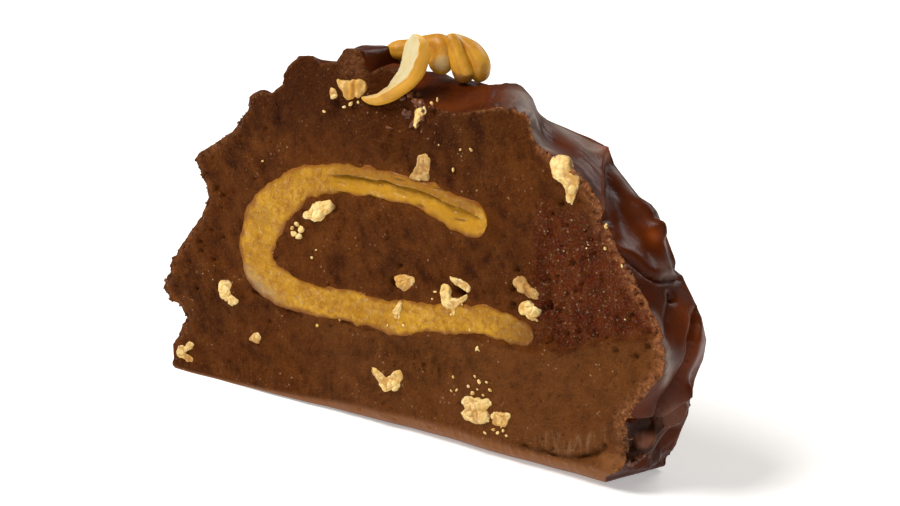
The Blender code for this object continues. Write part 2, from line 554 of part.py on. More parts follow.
def build():
    for old in list(bpy.data.objects):
        bpy.data.objects.remove(old, do_unlink=True)
    parts = bpy.data.collections.new("Salted caramel fudge")
    cutters = bpy.data.collections.new("Cutters")
    for collection in (parts, cutters):
        bpy.context.scene.collection.children.link(collection)

    fudge = loft("fudge", [loaf_section(depth) for depth in SECTION_DEPTHS], parts)
    cut(fudge, knife("knife_front", front_depth, -1.0, FRONT_CELLS, cutters))
    cut(fudge, knife("knife_back", back_depth, 1.0, BACK_CELLS, cutters))
    past = HALF_DEPTH + OVERRUN
    channel = loft("channel", caramel_rings(FIT_GAP, lambda x, z, share: np.full_like(x, -past),
                                            lambda x, z, share: np.full_like(x, past)), cutters)
    cut(fudge, channel)
    cut(fudge, hollow(cutters))
    caramel = loft("caramel", caramel_rings(0.0, caramel_front,
                                            lambda x, z, share: back_depth(x, z)), parts)

    made = {}
    number = 0
    for places, side, depth_at in ((FRONT_NUTS, -1.0, front_depth), (BACK_NUTS, 1.0, back_depth)):
        for place in places:
            number += 1
            name = f"nut_{number:02d}"
            face_y = float(depth_at(np.array([place[0]]), np.array([place[1]]))[0])
            made[name] = nut(name, place, face_y, side, number, 0.0, parts)
            slice_off(made[name], face_y, side)
            pocket = nut(f"pocket_{number:02d}", place, face_y, side, number, FIT_GAP, cutters)
            cut(fudge, pocket)
            if near_caramel(place):
                cut(caramel, pocket)

    rooms = []
    for name, form in CASHEWS.items():
        kernel = cashew(name, form, parts)
        room = room_for(kernel, cutters)
        cut(fudge, room)
        for earlier in rooms:
            cut(kernel, earlier)
        rooms.append(room)
    cut(made[TOP_NUT], rooms[0])

    for obj in parts.objects:
        apply_all(obj)
    for obj in parts.objects:
        finish(obj, obj.name.split("_")[0])
    for cutter in cutters.objects:
        cutter.hide_render = True
        cutter.display_type = "WIRE"


build()
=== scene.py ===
import itertools
import math

import bmesh
import bpy
import numpy as np
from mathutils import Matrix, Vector


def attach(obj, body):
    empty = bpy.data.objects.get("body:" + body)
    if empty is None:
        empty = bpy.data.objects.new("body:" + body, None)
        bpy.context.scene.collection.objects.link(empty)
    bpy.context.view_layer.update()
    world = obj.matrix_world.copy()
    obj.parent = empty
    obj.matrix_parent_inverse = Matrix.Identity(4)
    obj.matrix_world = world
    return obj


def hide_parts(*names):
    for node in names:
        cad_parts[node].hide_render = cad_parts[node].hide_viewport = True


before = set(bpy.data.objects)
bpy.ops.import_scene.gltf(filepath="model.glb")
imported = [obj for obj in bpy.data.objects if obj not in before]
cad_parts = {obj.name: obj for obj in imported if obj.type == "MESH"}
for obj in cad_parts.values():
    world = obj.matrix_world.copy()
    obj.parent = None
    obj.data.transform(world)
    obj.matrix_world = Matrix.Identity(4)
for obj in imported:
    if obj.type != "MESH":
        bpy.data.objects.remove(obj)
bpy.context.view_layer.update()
mm = 0.001                    # every length below is in millimetres
bpy.context.scene.view_settings.view_transform = "Standard"
print("frame loaded")


def hexToLinear(code):  # sRGB hex to linear RGBA
    shares = [int(code[i:i + 2], 16) / 255 for i in (1, 3, 5)]
    return (*[c / 12.92 if c <= 0.04045 else ((c + 0.055) / 1.055) ** 2.4 for c in shares], 1.0)


def smoothStep(value):  # rises from 0 to 1 with the value, level at both ends
    value = np.clip(value, 0.0, 1.0)
    return value * value * (3.0 - 2.0 * value)


def unitRows(vectors):  # each row made one long
    return vectors / np.linalg.norm(vectors, axis=-1, keepdims=True)


def rise(value, start, width):  # 0 at the start to 1 a width further on; a width below 0 goes the other way
    return smoothStep((value - start) / width)


def waves(points, size, seed):  # mean of nine sine waves in random directions, about -1 to 1
    rng = np.random.default_rng(seed)
    directions = unitRows(rng.normal(size=(9, points.shape[-1])))
    turns = points @ directions.T * (2.0 * math.pi / size)
    return np.sin(turns * rng.uniform(0.7, 1.3, 9) + rng.uniform(0.0, 6.28, 9)).sum(-1) / 4.5


def grain(points, size, seed):  # random numbers at the corners of a lattice, blended by smooth steps, -1 to 1
    count = points.shape[-1]
    table = np.random.default_rng(seed).uniform(-1.0, 1.0, (48,) * count)
    scaled = points / np.asarray(size, dtype=float)
    corner = np.floor(scaled).astype(int)
    share = smoothStep(scaled - corner)
    total = 0.0
    for step in itertools.product((0, 1), repeat=count):
        weight = np.prod(np.where(step, share, 1.0 - share), axis=-1)
        total = total + weight * table[tuple(np.moveaxis((corner + step) % 48, -1, 0))]
    return total


def grains(points, *rows):  # sum of grain, each with its height, size and seed
    return sum(height * grain(points, size, seed) for height, size, seed in rows)


def roughGrain(points, size, seed):  # grain at halving sizes and heights, added up
    return grains(points, *((1 / 2 ** k, np.asarray(size) / 2 ** k, seed + k) for k in range(3)))


def cells(points, size, seed, numbers):
    # Jittered cells in and beside each point's own: the way from the cell's middle, and its random numbers
    count = points.shape[-1]
    table = np.random.default_rng(seed).uniform(0.0, 1.0, (40,) * count + (numbers,))
    scaled = points / np.asarray(size, dtype=float)
    corner = np.floor(scaled).astype(int)
    for step in itertools.product((-1, 0, 1), repeat=count):
        cell = corner + step
        drawn = table[tuple(np.moveaxis(cell % 40, -1, 0))]
        yield scaled - cell - drawn[..., :count], drawn


def chips(points, size, seed):  # flat broken bits: each cell has its own height and slope, -1 to 1
    count = points.shape[-1]
    nearest, height = np.full(points.shape[:-1], np.inf), np.zeros(points.shape[:-1])
    for away, drawn in cells(points, size, seed, 2 * count + 1):
        gap = np.linalg.norm(away, axis=-1)
        level = drawn[..., -1] - 0.5 + ((drawn[..., count:2 * count] - 0.5) * away).sum(-1) * 1.6
        height = np.where(gap < nearest, level, height)
        nearest = np.minimum(nearest, gap)
    return height


def lumps(points, size, seed):  # rounded grains: 1 on top of each cell, 0 in the clefts between them
    nearest = second = np.full(points.shape[:-1], np.inf)
    for away, drawn in cells(points, size, seed, points.shape[-1]):
        gap = np.linalg.norm(away, axis=-1)
        second = np.minimum(second, np.maximum(nearest, gap))
        nearest = np.minimum(nearest, gap)
    return smoothStep((second - nearest) / 0.5)


def stretches(points, line):  # each stretch of a broken line: the way from it, its run, the share along it
    for start, end in zip(line[:-1], line[1:]):
        run = end - start
        share = np.clip((points - start) @ run / (run @ run), 0.0, 1.0)
        yield points - start - share[..., None] * run, run, share


def lineDistance(points, line):  # distance from each point to a broken line
    line = np.asarray(line, dtype=float)
    return np.min([np.linalg.norm(away, axis=-1) for away, run, share in stretches(points, line)], axis=0)


def nearLine(points, line):  # distance to a broken line, and the line's fourth number at the nearest place
    line = np.asarray(line, dtype=float)
    nearest, height = np.full(points.shape[:-1], np.inf), np.zeros(points.shape[:-1])
    for (away, run, share), low, high in zip(stretches(points, line[:, :3]), line[:-1, 3], line[1:, 3]):
        gap = np.linalg.norm(away, axis=-1)
        height = np.where(gap < nearest, low + share * (high - low), height)
        nearest = np.minimum(nearest, gap)
    return nearest, height


def wayAlong(points):  # length of the line from its first point to each point
    return np.concatenate([[0.0], np.cumsum(np.linalg.norm(np.diff(points, axis=0), axis=1))])


def spline(points, steps, closed=False):  # Catmull-Rom curve, read at even steps of its length
    points = np.asarray(points, dtype=float)
    if closed:
        padded = np.vstack([points[-1:], points, points[:2]])
    else:
        padded = np.vstack([2 * points[0] - points[1], points, 2 * points[-1] - points[-2]])
    t = np.linspace(0.0, 1.0, 24, endpoint=False)[:, None]
    pieces = [0.5 * (2 * b + (c - a) * t + (2 * a - 5 * b + 4 * c - d) * t ** 2
                     + (3 * b - a - 3 * c + d) * t ** 3)
              for a, b, c, d in zip(padded[:-3], padded[1:-2], padded[2:-1], padded[3:])]
    fine = np.vstack(pieces + [pieces[0][:1] if closed else points[-1:]])
    length = wayAlong(fine)
    wanted = np.linspace(0.0, length[-1], steps, endpoint=not closed)
    return np.stack([np.interp(wanted, length, column) for column in fine.T], axis=1)


def nearestGap(points, targets):  # distance from each point to the nearest of the targets, in slices
    return np.concatenate([np.sqrt(((part[:, None] - targets) ** 2).sum(-1)).min(1)
                           for part in np.array_split(points, max(1, len(points) // 4000))])


def gridQuads(index):  # quads between neighbours of a table of vertex numbers
    return np.stack([index[:-1, :-1], index[:-1, 1:], index[1:, 1:], index[1:, :-1]], axis=-1).reshape(-1, 4)


def meshObject(name, points, faces, materials=()):  # object of these points (mm) and faces, facing outwards
    mesh = bpy.data.meshes.new(name)
    mesh.from_pydata((np.asarray(points).reshape(-1, 3) * mm).tolist(), [], faces)
    work = bmesh.new()
    work.from_mesh(mesh)
    bmesh.ops.recalc_face_normals(work, faces=work.faces)
    work.to_mesh(mesh)
    work.free()
    mesh.shade_smooth()
    for material in materials:
        mesh.materials.append(material)
    made = bpy.data.objects.new(name, mesh)
    bpy.context.scene.collection.objects.link(made)
    return made


def ringFaces(rows, columns):  # quads between closed rings of points, and the table of the rings' numbers
    index = np.arange(rows * columns).reshape(rows, columns)
    rings = np.concatenate([index, index[:, :1]], axis=1)
    return gridQuads(rings).tolist(), rings


def tubeFaces(rows, columns):  # a closed tube of rings with a flat cap at each end
    quads, rings = ringFaces(rows, columns)
    return quads + [rings[0, :-1].tolist(), rings[-1, -2::-1].tolist()]


def ballFaces(rows, columns):  # rings between two poles; the poles come after the rings
    quads, rings = ringFaces(rows, columns)
    top, bottom = rows * columns, rows * columns + 1
    fans = [[top, b, a] for a, b in zip(rings[0, :-1], rings[0, 1:])]
    fans += [[bottom, a, b] for a, b in zip(rings[-1, :-1], rings[-1, 1:])]
    return quads + [[int(v) for v in fan] for fan in fans]


def slab(name, xs, zs, depthAt, farY):  # block whose near side follows depthAt(x, z), with a flat far side
    x, z = np.meshgrid(xs, zs)
    near = np.stack([x, depthAt(x, z), z], axis=-1)
    index = np.arange(x.size).reshape(x.shape)
    rim = np.concatenate([index[0], index[1:, -1], index[-1, -2::-1], index[-2:0:-1, 0]])
    far = near.reshape(-1, 3)[rim] * (1.0, 0.0, 1.0) + (0.0, farY, 0.0)
    middle = np.array([[xs.mean(), farY, zs.mean()]])
    ring = x.size + np.arange(len(rim))
    hub = x.size + len(rim)
    sides = np.stack([rim, np.roll(rim, -1), np.roll(ring, -1), ring], axis=1)
    fan = [[int(a), int(b), hub] for a, b in zip(ring, np.roll(ring, -1))]
    return meshObject(name, np.vstack([near.reshape(-1, 3), far, middle]),
                      gridQuads(index).tolist() + sides.tolist() + fan)


def cutAway(piece, cutters):  # takes the cutters out of the piece, keeps the result and deletes the cutters
    for cutter in cutters:
        step = piece.modifiers.new("cut", "BOOLEAN")
        step.operation, step.solver, step.object = "DIFFERENCE", "MANIFOLD", cutter
    graph = bpy.context.evaluated_depsgraph_get()
    mesh = bpy.data.meshes.new_from_object(piece.evaluated_get(graph))
    piece.modifiers.clear()
    piece.data = mesh
    mesh.name = piece.name
    for cutter in cutters:
        bpy.data.objects.remove(cutter, do_unlink=True)


def pointsOf(piece):  # the mesh's points in millimetres
    points = np.empty(len(piece.data.vertices) * 3)
    piece.data.vertices.foreach_get("co", points)
    return points.reshape(-1, 3) / mm


def setMask(piece, name, values):  # a number at each point, for the material to read
    mask = piece.data.attributes.new(name, "FLOAT", "POINT")
    mask.data.foreach_set("value", np.asarray(values, dtype=np.float32).ravel())


def keep(piece, slot, *nodes):  # every piece rides on the one body and stands for its CAD nodes
    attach(piece, "root")
    if nodes:
        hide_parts(*nodes)
    return piece


def addNode(tree, kind, sockets, out=0, **settings):
    # Node with its settings; each socket, named or numbered, gets a link, a hex colour or a number
    node = tree.nodes.new("ShaderNode" + kind)
    for key, value in settings.items():
        setattr(node, key, value)
    for key, value in sockets.items() if isinstance(sockets, dict) else enumerate(sockets):
        if isinstance(value, bpy.types.NodeSocket):
            tree.links.new(value, node.inputs[key])
        else:
            node.inputs[key].default_value = hexToLinear(value) if isinstance(value, str) else value
    return node.outputs[out]


def newMaterial(name, masks, noises):
    # A material, the masks that it reads from the mesh, and noise patterns on the object's own coordinates.
    # A noise is the length of one wave in millimetres, detail, roughness, and how it is turned and stretched.
    material = bpy.data.materials.new(name)
    material.use_nodes = True
    tree = material.node_tree
    place = addNode(tree, "TexCoord", (), "Object")
    found = [addNode(tree, "Attribute", (), "Fac", attribute_name=mask) for mask in masks]
    for size, detail, rough, *turns in noises:
        way = place
        for turn in turns:
            way = addNode(tree, "Mapping", {"Vector": way, **turn})
        found.append(addNode(tree, "TexNoise", {"Vector": way, "Scale": 1.0 / (size * mm), "Detail": detail,
                                                "Roughness": rough}))
    return material, tree, found


def layers(tree, first, rows):
    # Colours laid over each other. Each row has the mask and the pattern that say where, with the pattern's
    # low and high value and the share at each (or one share), and the colour.
    pattern, levels, under, over = first
    color = addNode(tree, "Mix", {0: addNode(tree, "MapRange", (pattern, *levels)), 6: under, 7: over}, 2,
                    data_type="RGBA")
    for mask, pattern, levels, over in rows:
        share = addNode(tree, "MapRange", (pattern, *levels)) if pattern else levels
        if mask:
            share = addNode(tree, "Math", (mask, share), operation="MULTIPLY")
        color = addNode(tree, "Mix", {0: share, 6: color, 7: over}, 2, data_type="RGBA")
    return color


def weighed(tree, *parts):  # sum of patterns, each times its weight
    total = addNode(tree, "Math", parts[0], operation="MULTIPLY")
    for part in parts[1:]:
        total = addNode(tree, "Math", (*part, total), operation="MULTIPLY_ADD")
    return total


def finish(tree, sockets, height=None, strength=1.0, distance=1.0):
    # Gives the shader's sockets their links and numbers, and bumps of this height (mm), under the coat too
    shader = tree.nodes["Principled BSDF"]
    if height:
        sockets["Normal"] = addNode(tree, "Bump", {"Strength": strength, "Distance": distance * mm,
                                                   "Height": height})
        if "Coat Weight" in sockets:
            sockets["Coat Normal"] = sockets["Normal"]
    for key, value in sockets.items():
        if isinstance(value, bpy.types.NodeSocket):
            tree.links.new(value, shader.inputs[key])
        else:
            shader.inputs[key].default_value = value


# Cut chocolate fudge: sugar, cocoa and butter boiled and set, then cut with a knife. The cut is matte
# and close-grained; sugar crystals catch the light, torn places are redder, dragged ones paler. The
# rounded lower band is lighter as a painted reflection of the floor. The crystals get painted glints,
# the knife wrinkles painted highlights, and the hollow and the curved score painted shade.
def cutFudgeMaterial():
    material, tree, (torn, rim, band, smear, paintedShade, block, upper, drawn, cloud, patch, fleck, tiny, cluster,
                     dragged, streak) = newMaterial(
        "cutChocolateFudge", ("torn", "rim", "band", "smear", "paintedShade", "block", "upper", "drawn"),
        ((14.0, 3.0, 0.6), (3.6, 3.0, 0.6), (1.1, 3.0, 0.65), (0.42, 2.0, 0.6), (7.0, 3.0, 0.65),
         # knife drag: noise drawn out along a leaning line, and a finer one drawn out upright
         (2.2, 3.0, 0.6, {"Rotation": (0.0, math.radians(30.0), 0.0)}, {"Scale": (1.0, 1.0, 0.25)}),
         (0.8, 2.0, 0.6, {"Scale": (1.0, 1.0, 0.2)})))
    # sugar crystals a millimetre apart, in clusters and where the fudge is torn
    crystals = addNode(tree, "TexVoronoi", {"Vector": addNode(tree, "TexCoord", (), "Object"),
                                            "Scale": 1.0 / (1.0 * mm), "Randomness": 1.0}, "Distance")
    broken = addNode(tree, "Math", (torn, rim), operation="MAXIMUM")
    # painted glints: pale specks at the sugar crystals, together with their real coat shine
    crystalGlint = addNode(tree, "Math", (broken, addNode(tree, "MapRange", (cluster, 0.52, 0.62))),
                      operation="MAXIMUM")
    for pattern, low, high in ((crystals, 0.26, 0.08), (fleck, 0.45, 0.6)):
        crystalGlint = addNode(tree, "Math", (crystalGlint, addNode(tree, "MapRange", (pattern, low, high))),
                          operation="MULTIPLY")
    color = layers(tree, (cloud, (0.3, 0.7), "#2b0e00", "#512604"), (
        (None, patch, (0.4, 0.7, 0.0, 0.7), "#5f330f"), (None, patch, (0.28, 0.42, 0.55, 0.0), "#250b00"),
        (None, dragged, (0.45, 0.75, 0.0, 0.5), "#5f3410"), (upper, None, 1.0, "#280b00"),
        (block, patch, (0.3, 0.7, 0.5, 0.9), "#623817"), (None, fleck, (0.3, 0.42, 0.55, 0.0), "#1d0900"),
        (None, tiny, (0.56, 0.72, 0.0, 0.35), "#7b4c22"), (torn, fleck, (0.35, 0.6, 0.9, 0.1), "#541a01"),
        (rim, fleck, (0.38, 0.6, 0.1, 0.85), "#9a6038"), (smear, None, 0.35, "#643308"),
        # painted reflection of the floor: the rounded lower band lighter; pale crystal specks are painted
        # glints
        (band, None, 0.85, "#7d4a1c"), (crystalGlint, tiny, (0.35, 0.6, 0.1, 0.9), "#c19a72"),
        # painted highlights: pale streaks on the knife wrinkles
        # painted shade: the last layer darkens the hollow and the curved score
        (drawn, streak, (0.5, 0.66, 0.05, 0.5), "#8c6a4c"), (paintedShade, None, 0.9, "#0e0300")))
    rough = addNode(tree, "Math", (band, -0.2, addNode(tree, "MapRange", (tiny, 0.3, 0.7, 0.54, 0.7))),
                    operation="MULTIPLY_ADD")
    moist = addNode(tree, "Math", (broken, addNode(tree, "MapRange", (tiny, 0.5, 0.62, 0.0, 0.45))),
                    operation="MULTIPLY")
    for share, part in ((0.2, band), (0.8, crystalGlint)):
        moist = addNode(tree, "Math", (moist, addNode(tree, "Math", (part, share), operation="MULTIPLY")),
                        operation="MAXIMUM")
    height = addNode(tree, "Math", (weighed(tree, (tiny, 0.3), (fleck, 0.7)),
                                    addNode(tree, "MapRange", (band, 0.0, 1.0, 1.0, 0.2))),
                     operation="MULTIPLY")
    finish(tree, {"Base Color": color, "Roughness": rough, "Coat Weight": moist, "Coat Roughness": 0.28,
                  "Specular IOR Level": 0.04}, height)
    return material


# Poured skin of the fudge: smooth and buttery, with a satin shine. It carries a painted grey sheen in
# places, and glows orange where it is thin; deep in the hollow it has painted shade.
def fudgeSkinMaterial():
    material, tree, (paintedSheen, thin, paintedShade, cloud, fleck, streak) = newMaterial(
        "pouredFudgeSkin", ("paintedSheen", "thin", "paintedShade"),
        ((9.0, 3.0, 0.55), (1.0, 3.0, 0.6), (1.6, 3.0, 0.6, {"Scale": (0.35, 1.6, 1.0)})))
    color = layers(tree, (cloud, (0.35, 0.65), "#391200", "#521f02"), (
        # painted reflection: a grey sheen tint on the skin
        (paintedSheen, streak, (0.3, 0.7, 0.6, 1.0), "#93857b"), (thin, None, 1.0, "#843904"),
        # painted shade deep in the hollow
        (None, fleck, (0.6, 0.8, 0.0, 0.35), "#1f0b03"), (paintedShade, None, 0.85, "#120702")))
    rough = addNode(tree, "Math", (paintedSheen, 0.14, addNode(tree, "MapRange", (fleck, 0.3, 0.7, 0.3, 0.4))),
                    operation="MULTIPLY_ADD")
    finish(tree, {"Base Color": color, "Roughness": rough, "Specular IOR Level": 0.1},
           weighed(tree, (fleck, 0.5), (streak, 1.0)), 0.35, 0.35)
    return material


# Fudge crumbs: torn edges are thin, so more light gets through and they look more orange.
def crumbMaterial():
    material, tree, (fleck,) = newMaterial("crumbledFudge", (), ((1.5, 2.0, 0.5),))
    finish(tree, {"Base Color": layers(tree, (fleck, (0.35, 0.65), "#451b00", "#6f3a10"), ()),
                  "Roughness": 0.42, "IOR": 1.46})
    return material


# Salted caramel: sugar, cream and butter boiled soft. It is satin, a little see-through and cloudy,
# browner where it soaks into the fudge, with small wet glints. The dark line under the torn lip of the
# upper arm is painted shadow.
def caramelMaterial():
    material, tree, (soak, yellow, lip, tail, grey, groove, cloud, fleck, tiny, wet) = newMaterial(
        "softSaltedCaramel", ("soak", "yellow", "lip", "tail", "grey", "groove"),
        ((5.0, 3.0, 0.65), (1.3, 3.0, 0.65), (0.4, 2.0, 0.6), (1.0, 3.0, 0.7)))
    color = layers(tree, (cloud, (0.35, 0.65), "#9a680a", "#b88822"), (
        (None, fleck, (0.48, 0.68, 0.0, 0.75), "#87540f"), (None, tiny, (0.55, 0.75, 0.0, 0.55), "#d0a03a"),
        (yellow, cloud, (0.3, 0.7, 0.9, 0.5), "#a87610"), (lip, cloud, (0.3, 0.7, 0.4, 0.85), "#805010"),
        (grey, fleck, (0.3, 0.7, 0.2, 0.9), "#8f7a5a"), (soak, cloud, (0.3, 0.7, 0.65, 1.0), "#713b08"),
        # painted shadow: the groove layer darkens the line just under the lip
        (tail, None, 0.75, "#5f330a"), (groove, None, 0.85, "#4b2a08")))
    glint = addNode(tree, "Math", (addNode(tree, "MapRange", (wet, 0.54, 0.64, 0.0, 0.9)),
                                   addNode(tree, "MapRange", (soak, 0.2, 0.8, 1.0, 0.3))),
                    operation="MULTIPLY")
    finish(tree, {"Base Color": color, "Roughness": addNode(tree, "MapRange", (fleck, 0.3, 0.7, 0.4, 0.55)),
                  "Coat Weight": glint, "Coat Roughness": 0.14, "Specular IOR Level": 0.12,
                  "Subsurface Weight": 0.12, "Subsurface Radius": (1.0, 0.45, 0.12),
                  "Subsurface Scale": 0.8 * mm}, weighed(tree, (tiny, 0.12), (fleck, 0.28)), 0.8)
    return material


# Broken cashew flesh: dry, chalky and cream-coloured on its high places, with golden-brown painted shade
# in its hollows, and a brown roasted tone where the fudge has soaked in.
def nutMaterial():
    material, tree, (low, soak, golden, cloud, fleck) = newMaterial(
        "brokenCashewFlesh", ("low", "soak", "golden"), ((1.8, 3.0, 0.6), (0.5, 2.0, 0.6)))
    color = layers(tree, (cloud, (0.35, 0.65), "#d9b264", "#f0d898"), (
        (golden, cloud, (0.3, 0.7, 1.0, 0.7), "#bc8526"), (None, fleck, (0.55, 0.8, 0.0, 0.5), "#bf8b3f"),
        # painted shade: the low layer darkens the clefts between the lumps
        (low, None, 1.0, "#a8702a"), (soak, None, 1.0, "#6d3a12")))
    finish(tree, {"Base Color": color, "Roughness": 0.5, "Specular IOR Level": 0.3, "Subsurface Weight": 0.12,
                  "Subsurface Radius": (1.0, 0.6, 0.25), "Subsurface Scale": 0.5 * mm}, fleck, 0.7, 0.4)
    return material


# Roasted cashew: a golden skinless kernel with a faint oily shine, pale where it has split open. The
# round side of the split half is painted brighter gold towards its top, as painted light.
def cashewMaterial():
    material, tree, (pale, seam, paintedLightGold, cloud, fleck, tiny) = newMaterial(
        "roastedCashew", ("pale", "seam", "paintedLightGold"), ((5.0, 3.0, 0.6), (0.9, 3.0, 0.6), (0.3, 2.0, 0.5)))
    color = layers(tree, (cloud, (0.3, 0.7), "#a86e0e", "#d0982a"), (
        (None, fleck, (0.55, 0.8, 0.0, 0.5), "#d2a552"), (pale, cloud, (0.2, 0.8, 1.0, 0.75), "#c5b88d"),
        # painted light: the round side of the split half brighter gold
        (paintedLightGold, None, 1.0, "#eeb03e"), (seam, None, 1.0, "#6d3a10")))
    finish(tree, {"Base Color": color, "Roughness": addNode(tree, "MapRange", (fleck, 0.3, 0.7, 0.38, 0.52)),
                  "Specular IOR Level": 0.35, "Subsurface Weight": 0.15,
                  "Subsurface Radius": (1.0, 0.6, 0.25), "Subsurface Scale": 0.8 * mm},
           weighed(tree, (tiny, 0.06), (fleck, 0.14)), 0.4)
    return material


loaf = {
    "halfDepth": 8.0, "overrun": 2.3, "footHeight": 4.0,
    "ringPoints": 620, "sections": 43,
    "faceCell": 0.38, "backCell": 1.1,
    "knifeX": (-67.0, 67.0), "knifeZ": (-3.0, 85.0),   # the knives reach past the loaf on every side
    # X and Z at the front face, then at the back face, from the bottom left corner up and over
    "outline": ((-61.2, 0.0, -60.5, 0.0), (-60.9, 8.4, -60.5, 9.0), (-62.6, 18.4, -61.5, 18.0),
        (-59.2, 26.8, -60.0, 27.0), (-51.4, 36.5, -53.5, 37.0), (-50.3, 42.0, -51.5, 43.0),
        (-54.2, 48.0, -50.5, 49.0), (-43.4, 55.6, -43.0, 57.0), (-36.6, 62.2, -36.0, 63.0),
        (-29.0, 67.9, -27.0, 68.0), (-18.6, 72.6, -17.0, 71.6), (-6.0, 72.2, -8.0, 71.6),
        (2.8, 69.2, 0.5, 71.0), (13.0, 68.9, 8.6, 71.0), (24.5, 72.3, 16.3, 72.2), (31.8, 71.6, 20.6, 70.6),
        (34.0, 65.5, 25.0, 66.2), (44.3, 61.6, 32.0, 64.6), (49.4, 54.8, 38.8, 63.3),
        (54.2, 46.0, 47.5, 54.5), (60.2, 36.5, 55.0, 42.5), (62.8, 29.0, 61.6, 30.5),
        (60.2, 22.8, 61.0, 22.5), (54.8, 15.2, 58.8, 15.5), (54.4, 8.0, 56.6, 8.4), (50.0, 3.2, 54.0, 3.0),
        (44.8, 0.1, 49.4, 0.1), (20.0, 0.0, 20.0, 0.0), (-20.0, 0.0, -20.0, 0.0), (-45.0, 0.0, -45.0, 0.0)),
    "flapCorner": 18, "flapDrop": 2.0, "flapStep": 2.2, "flapFade": 9.0,
    "arch": (-16.0, 20.0, 0.5),   # middle X, reach and height of the arch between the two feet
    # rim of the front face, then of the back face; there the skin is drawn in or out to meet them
    "frontRim": ((-61.5, 1.7), (-61.7, 5.1), (-57.7, 12.1), (-59.9, 15.0), (-61.7, 14.6), (-63.8, 17.9),
        (-61.7, 21.5), (-61.6, 24.2), (-52.1, 36.4), (-50.7, 39.5), (-50.6, 42.2), (-53.2, 46.2),
        (-53.8, 47.5), (-53.1, 49.1), (-44.2, 55.1), (-39.1, 60.9), (-38.8, 63.6), (-35.8, 65.4),
        (-33.7, 64.9), (-29.4, 68.1), (-29.6, 69.3), (-28.5, 71.4), (-25.6, 74.3), (-21.9, 75.1),
        (-20.1, 73.5), (-16.0, 74.6), (-14.2, 77.7), (-11.7, 78.1), (-10.1, 77.9), (-8.9, 74.0),
        (-7.6, 73.6), (-6.0, 74.6), (-3.5, 74.6), (0.6, 70.4), (2.8, 69.2), (13.8, 69.0), (24.5, 72.2),
        (30.4, 71.8), (31.6, 70.7), (32.3, 67.5), (34.0, 65.8), (41.4, 63.2), (45.6, 60.7), (48.2, 57.3),
        (49.9, 50.8), (58.1, 38.7), (60.2, 37.1), (63.0, 31.8), (62.9, 27.0), (54.6, 15.8), (55.7, 10.1),
        (54.9, 8.0)),
    "backRim": ((-4.7, 70.2), (-0.2, 71.2), (1.6, 70.6), (7.8, 71.0), (12.7, 70.4), (16.5, 72.3),
        (18.2, 71.9), (20.7, 69.9), (22.0, 67.2), (24.3, 66.1), (37.6, 63.4), (39.2, 61.8), (40.0, 60.0),
        (46.2, 54.6), (48.9, 53.7), (50.4, 52.4), (54.5, 43.2), (54.3, 41.6), (56.2, 40.7), (61.0, 33.3),
        (62.2, 29.1), (61.5, 24.9), (59.6, 20.4), (58.4, 12.9), (55.9, 6.4)),
    "rimReach": 6.0,              # how far in from each face the skin is drawn to its rim
}

